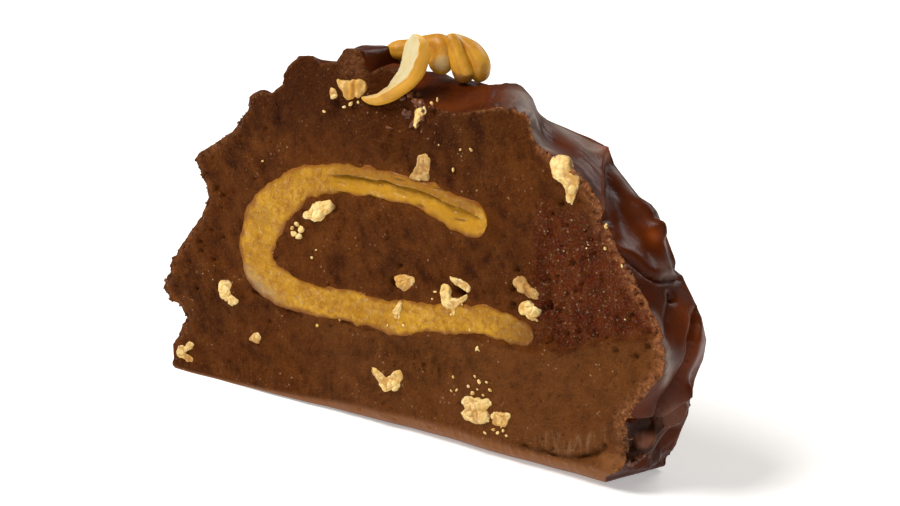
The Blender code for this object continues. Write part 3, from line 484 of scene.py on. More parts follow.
# Raised (+) and hollow (-) places of the skin: reach, how steep the sides are, and a line of X, Y, Z
# and height
skinFeatures = (
    (2.7, 2, ((-58.4, -9.0, 12.8, -5.0), (-58.5, 2.0, 12.5, -5.0))),  # notch at the left
    (1.8, 2, ((-63.2, -9.0, 17.8, 2.0), (-62.4, -3.0, 18.4, 0.0))),  # spike above it
    (2.4, 4, ((-36.6, -9.0, 63.2, 3.0), (-37.0, -5.5, 62.6, 3.0))),  # first bump
    (3.7, 4, ((-24.4, -9.0, 71.0, 3.9), (-25.2, -6.0, 70.4, 3.0))),  # crown bump
    (3.0, 4, ((-17.6, -9.0, 72.8, 1.6), (-17.4, 2.0, 72.0, 1.0))),  # saddle beside it
    (3.2, 6, ((-12.3, -10.0, 73.0, 5.0), (-12.0, -1.0, 72.2, 4.4), (-12.0, 4.0, 71.9, 3.8),
              (-12.1, 7.0, 71.6, 2.4), (-12.1, 10.0, 71.6, 1.2))),  # ridge on top
    (1.1, 2, ((-8.7, -10.0, 73.2, -2.0), (-8.2, -4.0, 72.6, -1.0))),
    (2.8, 4, ((-5.3, -10.0, 72.2, 3.2), (-4.6, -4.0, 72.0, 3.4))),  # lump beside it
    (3.4, 2, ((-7.0, 1.5, 71.6, 2.4), (-3.0, 4.0, 71.2, 1.6))),  # seat of the cashews
    (4.6, 2, ((2.0, 2.0, 70.4, 1.5), (12.0, 2.0, 70.4, 1.7))),
    (2.2, 2, ((-1.0, 6.8, 71.0, 0.75), (5.5, 6.8, 70.8, 0.6), (9.0, 6.8, 70.6, 0.2))),  # raised behind them
    (2.0, 4, ((21.5, -1.0, 72.4, 0.9), (27.0, -6.0, 72.4, 0.6))),  # crest at the right
    (0.8, 2, ((20.2, -8.6, 71.4, -1.3), (16.6, 3.0, 72.2, -0.7))),  # grooves in it
    (0.6, 2, ((23.6, -8.6, 72.2, -1.0), (20.6, 0.0, 72.4, -0.6))),
    (0.6, 2, ((26.8, -8.6, 72.6, -0.9), (23.6, -2.0, 72.4, -0.6))),
    (0.6, 2, ((29.8, -8.6, 72.4, -0.8), (26.6, -3.0, 71.8, -0.5))),
    (1.5, 2, ((33.3, -9.0, 69.0, -1.1), (31.0, -5.0, 69.0, -1.1))),
    (1.2, 2, ((48.8, -9.0, 54.2, -2.0), (49.0, -6.5, 53.6, -1.0))),  # step in the rim
    (3.0, 2, ((44.7, 4.0, 56.8, -1.3), (47.9, 0.5, 53.1, -1.3), (51.0, -3.5, 49.9, -1.3))),  # trough
    (1.9, 2, ((42.6, 6.8, 58.3, 1.2), (46.1, 6.4, 55.2, 1.3), (50.2, 5.2, 50.9, 1.4))),  # upper fold
    (2.0, 2, ((51.3, 4.8, 48.8, 1.7), (53.2, 4.4, 46.0, 1.45), (55.0, 3.4, 43.4, 1.2))),  # tongue
    (1.3, 4, ((50.9, 4.8, 49.4, 1.2), (51.6, 5.0, 48.6, 1.2))),  # its knob
    (1.4, 2, ((50.6, -2.6, 47.6, 0.8), (51.8, -1.6, 46.0, 0.8))),  # elbow that shines
    (0.8, 2, ((52.9, -5.0, 47.7, -0.8), (55.3, -2.8, 44.0, -0.83), (56.2, -1.0, 42.7, -0.85),
              (56.4, 4.0, 41.4, -0.88), (55.9, 8.0, 41.0, -0.9))),  # crease under it
    (0.8, 2, ((58.1, 1.2, 38.9, -1.3), (58.3, 1.6, 38.4, -1.3))),  # small pit
    (0.7, 2, ((58.1, 1.5, 38.7, -0.9), (60.1, -3.2, 35.5, -0.7), (61.4, -5.0, 33.2, -0.5))),
    (4.0, 2, ((59.0, 5.5, 36.5, 0.9), (61.9, 5.5, 29.0, 0.9))),  # lobe
    (1.1, 2, ((60.6, 5.5, 33.2, -1.1), (62.1, 2.2, 30.8, -1.05), (61.3, 0.8, 23.3, -1.0),
              (59.7, -0.5, 20.2, -0.95), (57.3, -2.5, 16.8, -0.9))),  # long fold
    (1.3, 2, ((57.3, 4.4, 12.6, 0.9), (58.9, 5.2, 16.6, 1.1), (60.4, 3.4, 20.6, 1.3))),  # flap by the hollow
    (1.7, 2, ((59.6, 2.4, 19.6, 1.1), (57.4, 1.0, 17.4, 1.1), (56.0, -6.0, 17.6, 1.1))),  # shelf over it
    (1.6, 2, ((57.0, 5.0, 9.5, -1.8), (56.0, 2.6, 7.0, -1.8))),
    (1.8, 2, ((53.6, -1.0, 3.0, 1.2), (54.6, 3.0, 4.0, 1.2))),  # crumbled foot
)

# Folds, where one layer of skin lies over another: height, width of the step, how far the raised
# side reaches, and the line. The raised side is on the left, seen from outside.
skinFolds = (
    (0.9, 0.5, 4.0, ((52.9, -5.0, 47.7), (55.3, -2.8, 44.0), (56.2, -1.0, 42.7), (56.4, 4.0, 41.4),
                     (55.9, 8.0, 41.0))),
    (0.8, 0.5, 3.5, ((60.6, 5.5, 33.2), (62.1, 2.2, 30.8), (61.3, 0.8, 23.3), (59.7, -0.5, 20.2),
                     (57.3, -2.5, 16.8))),
    (1.0, 0.6, 3.0, ((55.4, -6.5, 16.0), (57.0, -1.8, 16.0), (57.6, 1.5, 16.6), (59.8, 2.8, 19.4))),
    (0.7, 0.5, 2.5, ((56.3, -1.8, 8.1), (56.8, -0.8, 9.7), (57.0, 0.8, 11.5), (57.5, 3.5, 12.2),
                     (58.4, 7.0, 15.1))),
)

# Tints of the skin: strength, reach and line. The grey sheen is a painted reflection, thin skin glows orange.
skinTints = {
    "paintedSheen": ((0.95, 3.6, ((22.5, 4.0, 72.0), (30.0, -5.0, 72.0), (33.0, -6.0, 67.0))),
             (0.8, 2.5, ((28.0, 7.0, 66.5), (36.0, 5.5, 64.8), (38.4, 6.5, 63.4))),
             (0.6, 2.2, ((54.5, -4.5, 10.4), (56.5, -1.5, 9.8))),
             (0.35, 3.0, ((61.5, -2.0, 15.4), (60.0, 2.0, 13.5))),
             (0.4, 1.1, ((41.6, 7.2, 59.3), (45.1, 7.2, 56.0))),
             (0.8, 1.4, ((59.8, -6.5, 37.2), (61.7, -6.8, 33.0), (62.9, -6.8, 29.4), (61.3, -3.5, 23.6))),
             (0.6, 1.6, ((55.8, 2.2, 42.9), (55.6, 5.0, 42.2)))),
    "thin": ((0.9, 1.7, ((49.6, -7.5, 55.6), (46.5, -2.0, 58.8), (43.0, 3.5, 61.2), (38.8, 8.0, 63.2))),
             (0.8, 1.7, ((51.5, 5.2, 49.2), (52.2, 5.2, 47.6))),
             (0.1, 4.0, ((8.0, -7.0, 70.2), (18.0, -3.0, 71.0))),
             (0.75, 1.3, ((53.7, 1.5, 49.8), (51.8, 4.4, 48.9))),
             (0.6, 2.2, ((54.5, -4.5, 10.4), (56.5, -1.5, 9.8))),
             (0.3, 3.5, ((61.5, -2.0, 15.4), (60.0, 2.0, 13.5))),
             (0.3, 3.0, ((60.5, 3.0, 36.0), (61.5, 4.0, 28.0)))),
}


def outlineAt(depth):  # points round the loaf at this depth, outward directions, and the way past the flap
    corners = np.asarray(loaf["outline"])
    share = (depth + loaf["halfDepth"]) / (2 * loaf["halfDepth"])
    corners = corners[:, :2] * (1.0 - share) + corners[:, 2:] * share
    ring = spline(corners, loaf["ringPoints"], closed=True)
    along = unitRows(np.roll(ring, -1, axis=0) - np.roll(ring, 1, axis=0))
    way = wayAlong(ring)
    flapWay = way[np.argmin(np.linalg.norm(ring - corners[loaf["flapCorner"]], axis=1))]
    return ring, np.stack([-along[:, 1], along[:, 0]], axis=1), way - flapWay


def foldPush(points, outward, fold):  # step along a line: full height on its left, none on its right
    height, width, reach, line = fold
    line = np.asarray(line)
    longer = np.vstack([line[0] - 6.0 * (line[1] - line[0]), line[1:-1],
                        line[-1] + 6.0 * (line[-1] - line[-2])])   # drawn out past both ends
    nearest, side = np.full(points.shape[:-1], np.inf), np.zeros(points.shape[:-1])
    for away, run, share in stretches(points, longer):
        gap = np.linalg.norm(away, axis=-1)
        side = np.where(gap < nearest, np.sign((away * np.cross(outward, run)).sum(-1)), side)
        nearest = np.minimum(nearest, gap)
    across = nearest * side / width
    step = smoothStep(across + 0.5) - 0.35 * np.exp(-(across + 1.0) ** 2)
    return height * step * np.exp(-(lineDistance(points, line) / reach) ** 2)


def skinPush(points, outward, pastFlap):  # how far the skin stands out of the plain loft
    push = np.zeros(points.shape[:-1])
    for reach, steep, line in skinFeatures:
        gap, height = nearLine(points, line)
        push += height * np.exp(-(gap / reach) ** steep)
    for height, size, seed in ((0.45, 24.0, 3), (0.28, 8.0, 5)):
        push += height * waves(points, size, seed)
    drop = loaf["flapDrop"] * smoothStep(pastFlap / loaf["flapStep"] + 0.5)
    push -= drop * np.exp(-np.clip(pastFlap, 0.0, None) / loaf["flapFade"])
    for fold in skinFolds:
        push += foldPush(points, outward, fold)
    # drag marks along the slope, strongest on the right end of the crest
    track = np.stack([pastFlap, points[..., 1]], axis=-1)
    crest = np.exp(-((pastFlap + 33.0) / 7.0) ** 4)
    slope = np.exp(-((pastFlap + 12.0) / 12.0) ** 4)
    for height, shift, size, seed in (
            (0.34 * crest, 31.0, (1.7, 9.0), 21), (0.14 * crest, 11.0, (0.8, 6.0), 28),
            (0.16 * slope, 77.0, (9.0, 1.1), 22), (0.16 * slope, 5.0, (14.0, 2.6), 29)):
        push += height * grain(track + shift, size, seed)
    # crumbling along the front rim, and a rough lower right corner
    rim = smoothStep((-points[..., 1] - 5.6) / 2.0)
    side = smoothStep((np.abs(points[..., 0]) - 30.0) / 20.0) * 0.6 + 0.4
    push += rim * side * grains(points, (0.22, 2.1, 23), (0.14, 0.95, 24))
    foot = rise(points[..., 0], 50.0, 3.0) * rise(points[..., 2], 10.0, -5.0)
    push += foot * (0.5 * chips(points, 1.9, 25) + 0.3 * grain(points, 0.9, 26))
    push += 0.07 * grain(points, 3.2, 27)
    return push


def gapToRim(ring, outward, rim):  # how far each point goes outwards to meet the rim, filled in between
    start, run = np.asarray(rim)[:-1], np.diff(np.asarray(rim), axis=0)
    gap = start - ring[:, None]
    with np.errstate(divide="ignore", invalid="ignore"):
        turn = outward[:, None, 0] * run[:, 1] - outward[:, None, 1] * run[:, 0]
        reach = (gap[..., 0] * run[:, 1] - gap[..., 1] * run[:, 0]) / turn
        share = (gap[..., 0] * outward[:, None, 1] - gap[..., 1] * outward[:, None, 0]) / turn
    reach = np.where((share >= 0.0) & (share <= 1.0) & (np.abs(reach) < 4.0), reach, np.nan)
    met = np.isfinite(reach).any(axis=1)
    nearest = np.zeros(len(ring))
    pick = np.nanargmin(np.abs(np.where(met[:, None], reach, 0.0)), axis=1)
    nearest[met] = reach[met, pick[met]]
    count = np.arange(len(ring))
    away = np.abs(count[:, None] - count[met]).min(1)   # steps to the nearest point that meets the rim
    filled = np.interp(count, count[met], nearest[met])
    return np.where(met, nearest, filled * np.exp(-(away / 14.0) ** 2))


def sectionPush(depth):  # one section: its points, their outward directions and their push
    ring, outward, pastFlap = outlineAt(depth)
    points = np.stack([ring[:, 0], np.full(len(ring), depth), ring[:, 1]], axis=1)
    facing = np.stack([outward[:, 0], np.zeros(len(ring)), outward[:, 1]], axis=1)
    return points, facing, skinPush(points, facing, pastFlap) * smoothStep(ring[:, 1] / loaf["footHeight"])


def loafRings():  # closed sections of the loaf from front to back, standing on the floor
    reach = loaf["halfDepth"] + loaf["overrun"]
    toRim = []
    for depth, rim in ((-loaf["halfDepth"], loaf["frontRim"]), (loaf["halfDepth"], loaf["backRim"])):
        points, facing, push = sectionPush(depth)
        pushed = points + facing * push[:, None]
        lift = rise(points[:, 2], 0.5, 2.0)   # none where the loaf stands on its foot
        toRim.append(gapToRim(pushed[:, [0, 2]], facing[:, [0, 2]], rim) * lift)
    rings = []
    for depth in np.linspace(-reach, reach, loaf["sections"]):
        points, facing, push = sectionPush(depth)
        flat = points[:, 2] < 1.0
        for side, gap in zip((-1.0, 1.0), toRim):
            push += gap * smoothStep(1.0 - (loaf["halfDepth"] - side * depth) / loaf["rimReach"])
        points += facing * push[:, None]
        middle, span, high = loaf["arch"]
        arch = high * np.exp(-((points[:, 0] - middle) / span) ** 4)
        points[:, 2] = np.maximum(points[:, 2], np.where(flat, arch, 0.0))
        rings.append(points)
    return np.array(rings)


face = {
    "tornLeft": 32.5, "tornBlend": 4.0, "tornTop": 58.0, "tornDepth": 1.5,
    "ledge": ((31.7, 24.6), (35.8, 26.2), (39.8, 25.8), (45.1, 28.6), (51.3, 31.0), (60.9, 33.2)),
    "ledgeWidth": 0.9, "scoop": (-2.0, 70.5, 7.5, 3.0),   # scoop: X, Z, reach and depth
    # rounded lower edge: X, how high it reaches, and how much deeper than high it is
    "band": ((-60.0, -45.0, -26.0, -12.0, 2.0, 14.0, 27.0, 36.0, 48.0),
             (0.3, 0.7, 2.2, 3.8, 4.6, 5.0, 4.8, 5.0, 5.6)), "bandDeeper": 1.0,
    # soft-edged oblongs: middle X and reach, middle Z and reach (that of the wrinkles is over the score)
    "wrinkles": (42.0, 8.5, 2.6, 2.2), "tears": (4.0, 13.0, 17.0, 2.8), "gouge": (-0.2, 2.8, 60.5, 5.5),
    "ridge": (-12.0, 3.2, 75.0, 4.0),
    "pitCount": 300, "tornPits": 46,   # scattered air holes in all, and larger ones in the torn patch
    # air holes: X, Z, radius and depth
    "pits": ((-57.0, 21.5, 0.5, 0.9), (-54.2, 19.3, 0.4, 0.7), (-52.9, 27.9, 0.5, 0.8),
        (-53.2, 29.8, 0.6, 0.8), (-49.4, 26.7, 0.5, 0.9), (-46.8, 32.1, 0.5, 0.8), (-49.9, 33.1, 0.4, 0.7),
        (-34.5, 16.1, 0.6, 0.6), (-48.6, 42.2, 0.8, 0.8), (-46.4, 41.2, 0.6, 0.7), (-36.2, 23.2, 0.7, 1.0),
        (28.9, 40.4, 0.6, 0.9), (-1.5, 31.5, 1.1, 2.4), (0.2, 35.5, 0.5, 1.0), (14.3, 33.0, 1.3, 2.4),
        (15.6, 32.2, 0.9, 2.0), (35.7, 34.4, 0.8, 1.4), (27.6, 36.2, 0.7, 1.3), (28.0, 33.2, 0.6, 1.0),
        (-24.4, 41.8, 0.7, 0.8), (-16.5, 44.0, 0.8, 0.8), (29.5, 16.2, 1.2, 0.45), (13.3, 57.5, 0.6, 0.5),
        (-35.1, 49.8, 0.5, 0.4), (-9.5, 37.2, 2.4, 0.3), (8.2, 68.0, 0.9, 0.9), (38.5, 56.0, 1.0, 0.6),
        (-61.0, 7.5, 0.6, 0.6)),
    # cracks and scores: depth, width and line
    "cracks": ((1.4, 0.45, ((-38.8, 21.8), (-36.8, 21.7), (-34.7, 21.1))),
               (0.9, 0.5, ((-32.0, 20.3), (-29.3, 19.7), (-25.6, 19.5))),
               (0.7, 0.5, ((-15.9, 20.8), (-12.7, 20.3), (-10.1, 19.7), (-6.9, 20.4))),
               (0.25, 0.45, ((-41.9, 21.6), (-41.3, 17.9), (-40.7, 14.2), (-41.5, 9.6))),
               (0.5, 0.6, ((-57.6, 12.8), (-55.6, 12.0), (-53.8, 10.8), (-52.8, 7.6), (-53.2, 6.4))),
               (0.35, 0.5, ((-49.6, 43.5), (-46.6, 42.5), (-43.8, 42.5))),
               (0.3, 0.5, ((-41.7, 34.2), (-42.6, 30.2), (-42.4, 26.2))),
               (0.5, 1.0, ((-16.0, 66.1), (-12.0, 65.6), (-9.0, 66.8), (-6.5, 67.6))),
               (0.2, 0.5, ((-27.0, 48.6), (-20.0, 57.2), (-17.5, 62.2))),
               (0.3, 0.45, ((-12.9, 39.8), (-11.9, 38.1), (-12.3, 36.2))),),
    "scoreDepth": 1.1, "scoreWidth": 0.5,
    "curve": ((30.1, 4.3), (34.2, 4.4), (39.0, 4.5), (43.7, 5.3), (48.3, 7.5), (50.2, 9.1)),   # deep score
    # flakes that stand proud: depth (below zero), width and line
    "flakes": ((-0.55, 0.5, ((-14.1, 42.2), (-15.3, 40.0), (-15.9, 38.8))),
               (-0.5, 0.5, ((6.5, 20.6), (5.9, 18.6))), (-0.45, 0.5, ((9.4, 20.4), (8.2, 17.4))),
               (-0.5, 0.5, ((12.0, 21.2), (11.2, 18.0))), (-0.4, 0.6, ((14.0, 19.0), (13.2, 17.2))),
               (-0.4, 0.5, ((-5.0, 18.6), (-3.9, 16.1))), (-0.35, 0.5, ((18.2, 22.2), (17.4, 19.6))),
               (-0.35, 0.5, ((-8.6, 19.0), (-7.6, 16.8))),
               (-0.5, 0.6, ((-4.1, 65.3), (-2.7, 63.8), (-3.1, 61.4), (-4.4, 59.4))),
               (-0.3, 0.5, ((2.9, 63.0), (3.4, 60.1), (2.1, 58.0)))),
}


def above(x, z, line):  # how far each place is above a line on the face
    return z - np.interp(x, *zip(*line))


def oblong(x, z, middleX, reachX, middleZ, reachZ):  # 1 inside a soft-edged oblong, 0 outside it
    return np.exp(-((x - middleX) / reachX) ** 4 - ((z - middleZ) / reachZ) ** 4)


def frontDepth(x, z):  # Y of the front cut face, without its fine relief
    place = np.stack([x, z], axis=-1)
    depth = np.full(np.shape(x), -loaf["halfDepth"])
    for height, size, seed in ((0.32, 26.0, 11), (0.16, 9.0, 12)):
        depth = depth + height * waves(place, size, seed)
    high = above(x, z, face["ledge"]) + grains(place, (0.5, 2.4, 31), (0.25, 0.9, 32))
    torn = rise(x, face["tornLeft"], face["tornBlend"]) * smoothStep(high / face["ledgeWidth"])
    depth = depth + face["tornDepth"] * torn * (1.0 - smoothStep((z - face["tornTop"] + 12.0) / 12.0))
    scoopX, scoopZ, reach, deep = face["scoop"]
    depth = depth + deep * np.exp(-((x - scoopX) ** 2 + (z - scoopZ) ** 2) / reach ** 2)
    radius = np.interp(x, *face["band"])
    low = np.clip(radius - z, 0.0, radius)
    return depth + face["bandDeeper"] * (radius - np.sqrt(radius ** 2 - low ** 2))


def tornShare(x, z):  # 1 inside the torn patch right of the caramel, 0 outside it
    right = smoothStep((x - face["tornLeft"] + 1.0) / 3.0)
    return right * smoothStep(above(x, z, face["ledge"]) / 1.5) * (1.0 - rise(z, 50.0, 8.0))


def wrinkleShare(x, z):  # 1 where the knife drew the fudge into upright wrinkles, over the curved score
    return oblong(x, above(x, z, face["curve"]), *face["wrinkles"])


def faceRelief(x, z):  # fine relief of the front cut, positive into the slice
    place = np.stack([x, z], axis=-1)
    left = rise(x, -20.0, -30.0)
    relief = grains(place, (0.1, 5.0, 41), (0.12 * left, 2.6, 45)) + 0.075 * roughGrain(place, 1.4, 42)
    relief = relief + 0.1 * np.clip(chips(place, 2.6, 57), 0.1, 0.5)
    # air holes
    rng = np.random.default_rng(46)
    spread = rng.uniform(0.0, 1.0, face["pitCount"]) ** 1.9 * 104.0 - 60.0
    pits = list(face["pits"]) + [(px, pz, size, 1.1 * size) for px, pz, size in
                                 zip(spread, rng.uniform(2.0, 66.0, face["pitCount"]),
                                     rng.uniform(0.16, 0.42, face["pitCount"]))]
    pits += [(px, pz, size, 1.3 * size) for px, pz, size in
             zip(rng.uniform(34.0, 62.0, face["tornPits"]), rng.uniform(28.0, 56.0, face["tornPits"]),
                 rng.uniform(0.25, 0.7, face["tornPits"]))]
    for px, pz, radius, deep in pits:
        near = (np.abs(x - px) < 2.5 * radius) & (np.abs(z - pz) < 2.5 * radius)
        away = np.hypot(x[near] - px, z[near] - pz) / radius
        relief[near] += deep * np.exp(-away ** 4)
    score = (face["scoreDepth"], face["scoreWidth"], face["curve"])
    uneven = 0.65 + 0.5 * grain(place, 1.2, 47)
    wobble = place + np.stack([grain(place, 1.6, 48), grain(place, 1.6, 49)], axis=-1) * 0.35
    for deep, width, line in (*face["cracks"], score, *face["flakes"]):
        relief = relief + deep * uneven * np.exp(-(lineDistance(wobble, line) / width) ** 2)
    # torn strips below the caramel, drag marks near the foot and beside the nuts on top
    relief = relief + oblong(x, z, *face["tears"]) * 0.5 * chips(place, (1.2, 3.0), 50)
    drag = np.exp(-((z - 4.5) / 3.2) ** 2) * (rise(x, -52.0, 6.0) * rise(x, -8.0, -8.0)
                                             + rise(x, 8.0, 6.0) * rise(x, 46.0, -6.0))
    wrinkles, gouge = wrinkleShare(x, z), oblong(x, z, *face["gouge"])
    relief = relief + 0.35 * gouge + grains(
        place, (0.22 * drag, (0.7, 3.5), 51), (0.2 * wrinkles, (0.6, 2.4), 58),
        (0.14 * wrinkles, (1.1, 4.0), 59), (0.16 * gouge, (0.8, 4.0), 52))
    # torn patch: upright strips and flat broken bits
    torn = tornShare(x, z)
    relief = relief + torn * (0.3 * grain(place, (0.95, 6.0), 53) + 0.5 * chips(place, (1.3, 2.6), 54))
    # crumbling edge, widest along the right
    gap = nearestGap(place.reshape(-1, 2), frontRim).reshape(np.shape(x))
    width = 1.3 + 2.6 * rise(x, 28.0, 16.0)
    edge = 1.0 - smoothStep(gap / width)
    relief = relief + edge * (0.5 * chips(place, 1.0, 55) + 0.2 * grain(place, 0.8, 56) + 0.1)
    return relief * rise(z, 0.3, 2.2)


def frontFace(x, z):
    return frontDepth(x, z) + faceRelief(x, z)


def backFace(x, z):  # Y of the back cut face
    place = np.stack([x, z], axis=-1) + 200.0
    depth = loaf["halfDepth"] + 0.32 * waves(place, 26.0, 11) + 0.16 * waves(place, 9.0, 12)
    return depth + 0.08 * grain(place, 3.5, 61) + 0.06 * roughGrain(place, 1.8, 62)


caramel = {
    # X, Z and half width along the band, from the lower end to the upper end
    "line": ((33.0, 27.7, 2.4), (26.0, 28.4, 3.3), (17.5, 28.0, 3.1), (8.0, 26.4, 3.3),
             (-2.0, 24.4, 3.6), (-13.0, 24.2, 3.4), (-25.0, 23.9, 3.6), (-34.8, 25.8, 4.8),
             (-37.6, 31.0, 4.9), (-35.6, 37.5, 5.0), (-30.0, 43.9, 4.3), (-22.0, 49.1, 3.2),
             (-10.0, 51.1, 3.2), (3.0, 51.3, 3.1), (8.5, 50.6, 3.4), (14.0, 49.6, 3.9),
             (18.2, 48.7, 4.1), (21.8, 48.1, 4.0)),
    "stations": 390, "across": 33,
    "tuckedIn": 0.12,   # how far the fudge's channel is narrower than the band on each side
    "edgeRagged": 0.36, "lipShare": 0.28, "recess": 1.5, "recessSpan": (-19.0, 21.0),
}


def caramelBand(name, spare, frontAt, backAt):  # the band as a closed tube, widened by spare
    path = spline(caramel["line"], caramel["stations"])
    along = unitRows(np.gradient(path[:, :2], axis=0))
    outside = np.stack([-along[:, 1], along[:, 0]], axis=1)
    way = wayAlong(path[:, :2])
    fromEnd = np.minimum(way, way[-1] - way)
    rounding = np.sqrt(1.0 - (1.0 - np.clip(fromEnd / path[:, 2], 0.0, 1.0)) ** 2)
    half = np.clip(path[:, 2] * rounding + spare, 0.05, None)
    shares = np.linspace(-1.0, 1.0, caramel["across"])
    level = np.stack([way, way * 0.0], axis=1)
    inner, outer = (caramel["edgeRagged"] * roughGrain(level, size, seed)[:, None]
                    for size, seed in ((3.0, 71), (2.6, 75)))
    ragged = np.where(shares[None] < 0, -inner, outer) * shares[None] ** 2
    reach = half[:, None] * shares[None] + ragged * np.clip(fromEnd / 4.0, 0.0, 1.0)[:, None]
    x = path[:, 0, None] + outside[:, 0, None] * reach
    z = path[:, 1, None] + outside[:, 1, None] * reach
    share = np.broadcast_to(shares, x.shape)
    front = np.stack([x, frontAt(x, z, share), z], axis=-1)
    back = np.stack([x, backAt(x, z), z], axis=-1)[:, ::-1]
    rings = np.concatenate([front, back], axis=1)
    piece = meshObject(name, rings, tubeFaces(*rings.shape[:2]))
    # each point's share of the way across, and its way along
    return piece, np.concatenate([share, share[:, ::-1]], axis=1).ravel(), np.repeat(way, rings.shape[1])


def upperArm(x, z):  # 1 along the part of the upper arm that has split open lengthwise
    start, end = caramel["recessSpan"]
    return rise(z, 44.0, 3.0) * rise(x, start, 5.0) * smoothStep((end - x) / 3.0)


def caramelFront(x, z, share):  # Y of the caramel's front: a torn lip above a sunken yellow band
    place = np.stack([x, z], axis=-1)
    lipEdge = caramel["lipShare"] + grains(place, (0.06, 2.2, 72), (0.04, 0.8, 73))
    below = smoothStep((lipEdge - share) / 0.07)
    sunk = below * np.exp(-np.clip(lipEdge - share, 0.0, None) / 0.55)
    depth = frontDepth(x, z) + caramel["recess"] * upperArm(x, z) * sunk
    rounded = 0.22 * np.abs(share) ** 8
    cracks = 1.2 * np.clip(grain(place, (5.0, 0.9), 74) - 0.5, 0.0, None) * upperArm(x, z)
    pits = 0.9 * np.clip(grain(place, 1.3, 78) - 0.72, 0.0, None)
    uneven = 0.09 * roughGrain(place, 1.6, 76) + 0.12 * grain(place, 4.0, 79)
    return depth - 0.12 + rounded + uneven + cracks + pits


rings = loafRings()
frontRow = int(np.argmin(np.abs(rings[:, 0, 1] + loaf["halfDepth"])))
frontRim = rings[frontRow][:, [0, 2]]
frontRim = frontRim[frontRim[:, 1] > 5.0]
fudge = meshObject("fudgeLoaf", rings, tubeFaces(*rings.shape[:2]))
knives = [slab(name, np.arange(*loaf["knifeX"], cell), np.arange(*loaf["knifeZ"], cell), faceAt, farY)
          for name, cell, faceAt, farY in (("frontKnife", loaf["faceCell"], frontFace, -20.0),
                                           ("backKnife", loaf["backCell"], backFace, 20.0))]
channel = caramelBand("channel", -caramel["tuckedIn"], lambda x, z, share: np.full_like(x, -12.0),
                      lambda x, z: np.full_like(x, 12.0))[0]

hollow = {"middle": (56.4, -3.4, 10.6), "size": (4.6, 4.9, 5.6), "squareness": 0.7, "lump": (54.0, 0.6, 8.6),
          "lumpReach": 3.2, "lumpPush": (1.5, -1.9, 0.8), "rows": 70, "columns": 100}


def roundGrid(rows, columns):  # unit ball as rings of points between two poles
    tilt = np.linspace(0.0, math.pi, rows + 2)[1:-1, None]
    turn = np.linspace(0.0, 2 * math.pi, columns, endpoint=False)[None]
    ball = np.stack([np.sin(tilt) * np.cos(turn), np.sin(tilt) * np.sin(turn),
                     np.cos(tilt) + 0.0 * turn], axis=-1).reshape(-1, 3)
    return np.vstack([ball, [[0.0, 0.0, 1.0], [0.0, 0.0, -1.0]]])


unit = roundGrid(hollow["rows"], hollow["columns"])
boxed = np.sign(unit) * np.abs(unit) ** (1.0, 1.0, hollow["squareness"])
hole = boxed * hollow["size"] * (1.0 + 0.1 * waves(unit, 1.6, 71)[:, None]
                                 + 0.09 * roughGrain(unit + 5.0, 0.4, 81)[:, None]) + hollow["middle"]
lump = np.exp(-(np.linalg.norm(hole - hollow["lump"], axis=1, keepdims=True) / hollow["lumpReach"]) ** 2)
hole = hole + lump * hollow["lumpPush"]
hollowCutter = meshObject("hollow", hole, ballFaces(hollow["rows"], hollow["columns"]))

cutAway(fudge, [*knives, channel, hollowCutter])
print("fudge cut:", len(fudge.data.polygons), "faces")

fudgePoints = pointsOf(fudge)
fx, fy, fz = fudgePoints.T
frontGap = fy - frontFace(fx, fz)
backGap = backFace(fx, fz) - fy
inHole = np.exp(-(np.linalg.norm((fudgePoints - hollow["middle"]) / hollow["size"], axis=1) / 1.1) ** 8)
onFront = 1.0 - smoothStep((frontGap - 0.1) / 0.5)
cutShare = np.maximum(onFront, 1.0 - smoothStep((backGap - 0.1) / 0.6))
setMask(fudge, "cut", np.maximum(cutShare, 0.6 * inHole))
setMask(fudge, "torn", onFront * tornShare(fx, fz))
rimAway = nearestGap(fudgePoints[:, [0, 2]], frontRim)
rimWidth = 0.8 + 3.0 * rise(fx, 28.0, 16.0) + 1.6 * rise(fx, -30.0, -16.0)
rimShare = cutShare * (1.0 - smoothStep(rimAway / rimWidth)) * rise(fz, 4.0, 4.0)
ridgeShare = onFront * oblong(fx, fz, *face["ridge"])
setMask(fudge, "rim", np.maximum(rimShare * (0.35 + 0.65 * rise(fx, 10.0, 20.0)), 0.3 * ridgeShare))
# the rounded lower band and the lower right corner: smoother and glossier, and lighter as a painted
# reflection of the floor
radius = np.interp(fx, *face["band"])
bandShare = 1.0 - smoothStep((fz - 0.6 * radius) / (0.35 * radius + 0.3))
corner = rise(fx, 47.5, 3.0) * rise(fz, 9.5, -3.0)
setMask(fudge, "band", onFront * np.maximum(bandShare, 0.8 * corner))
path = spline(caramel["line"], caramel["stations"])
caramelGap = nearestGap(fudgePoints[:, [0, 2]], path[::4, :2]) - 3.4
setMask(fudge, "smear", cutShare * (1.0 - smoothStep(caramelGap / 0.9)))
# tints of the skin: the painted grey sheen and the orange of thin skin
for name, tints in skinTints.items():
    tint = sum(strength * np.exp(-(lineDistance(fudgePoints, line) / reach) ** 2)
               for strength, reach, line in tints)
    setMask(fudge, name, np.clip(tint, 0.0, 1.0) * (1.0 - cutShare))
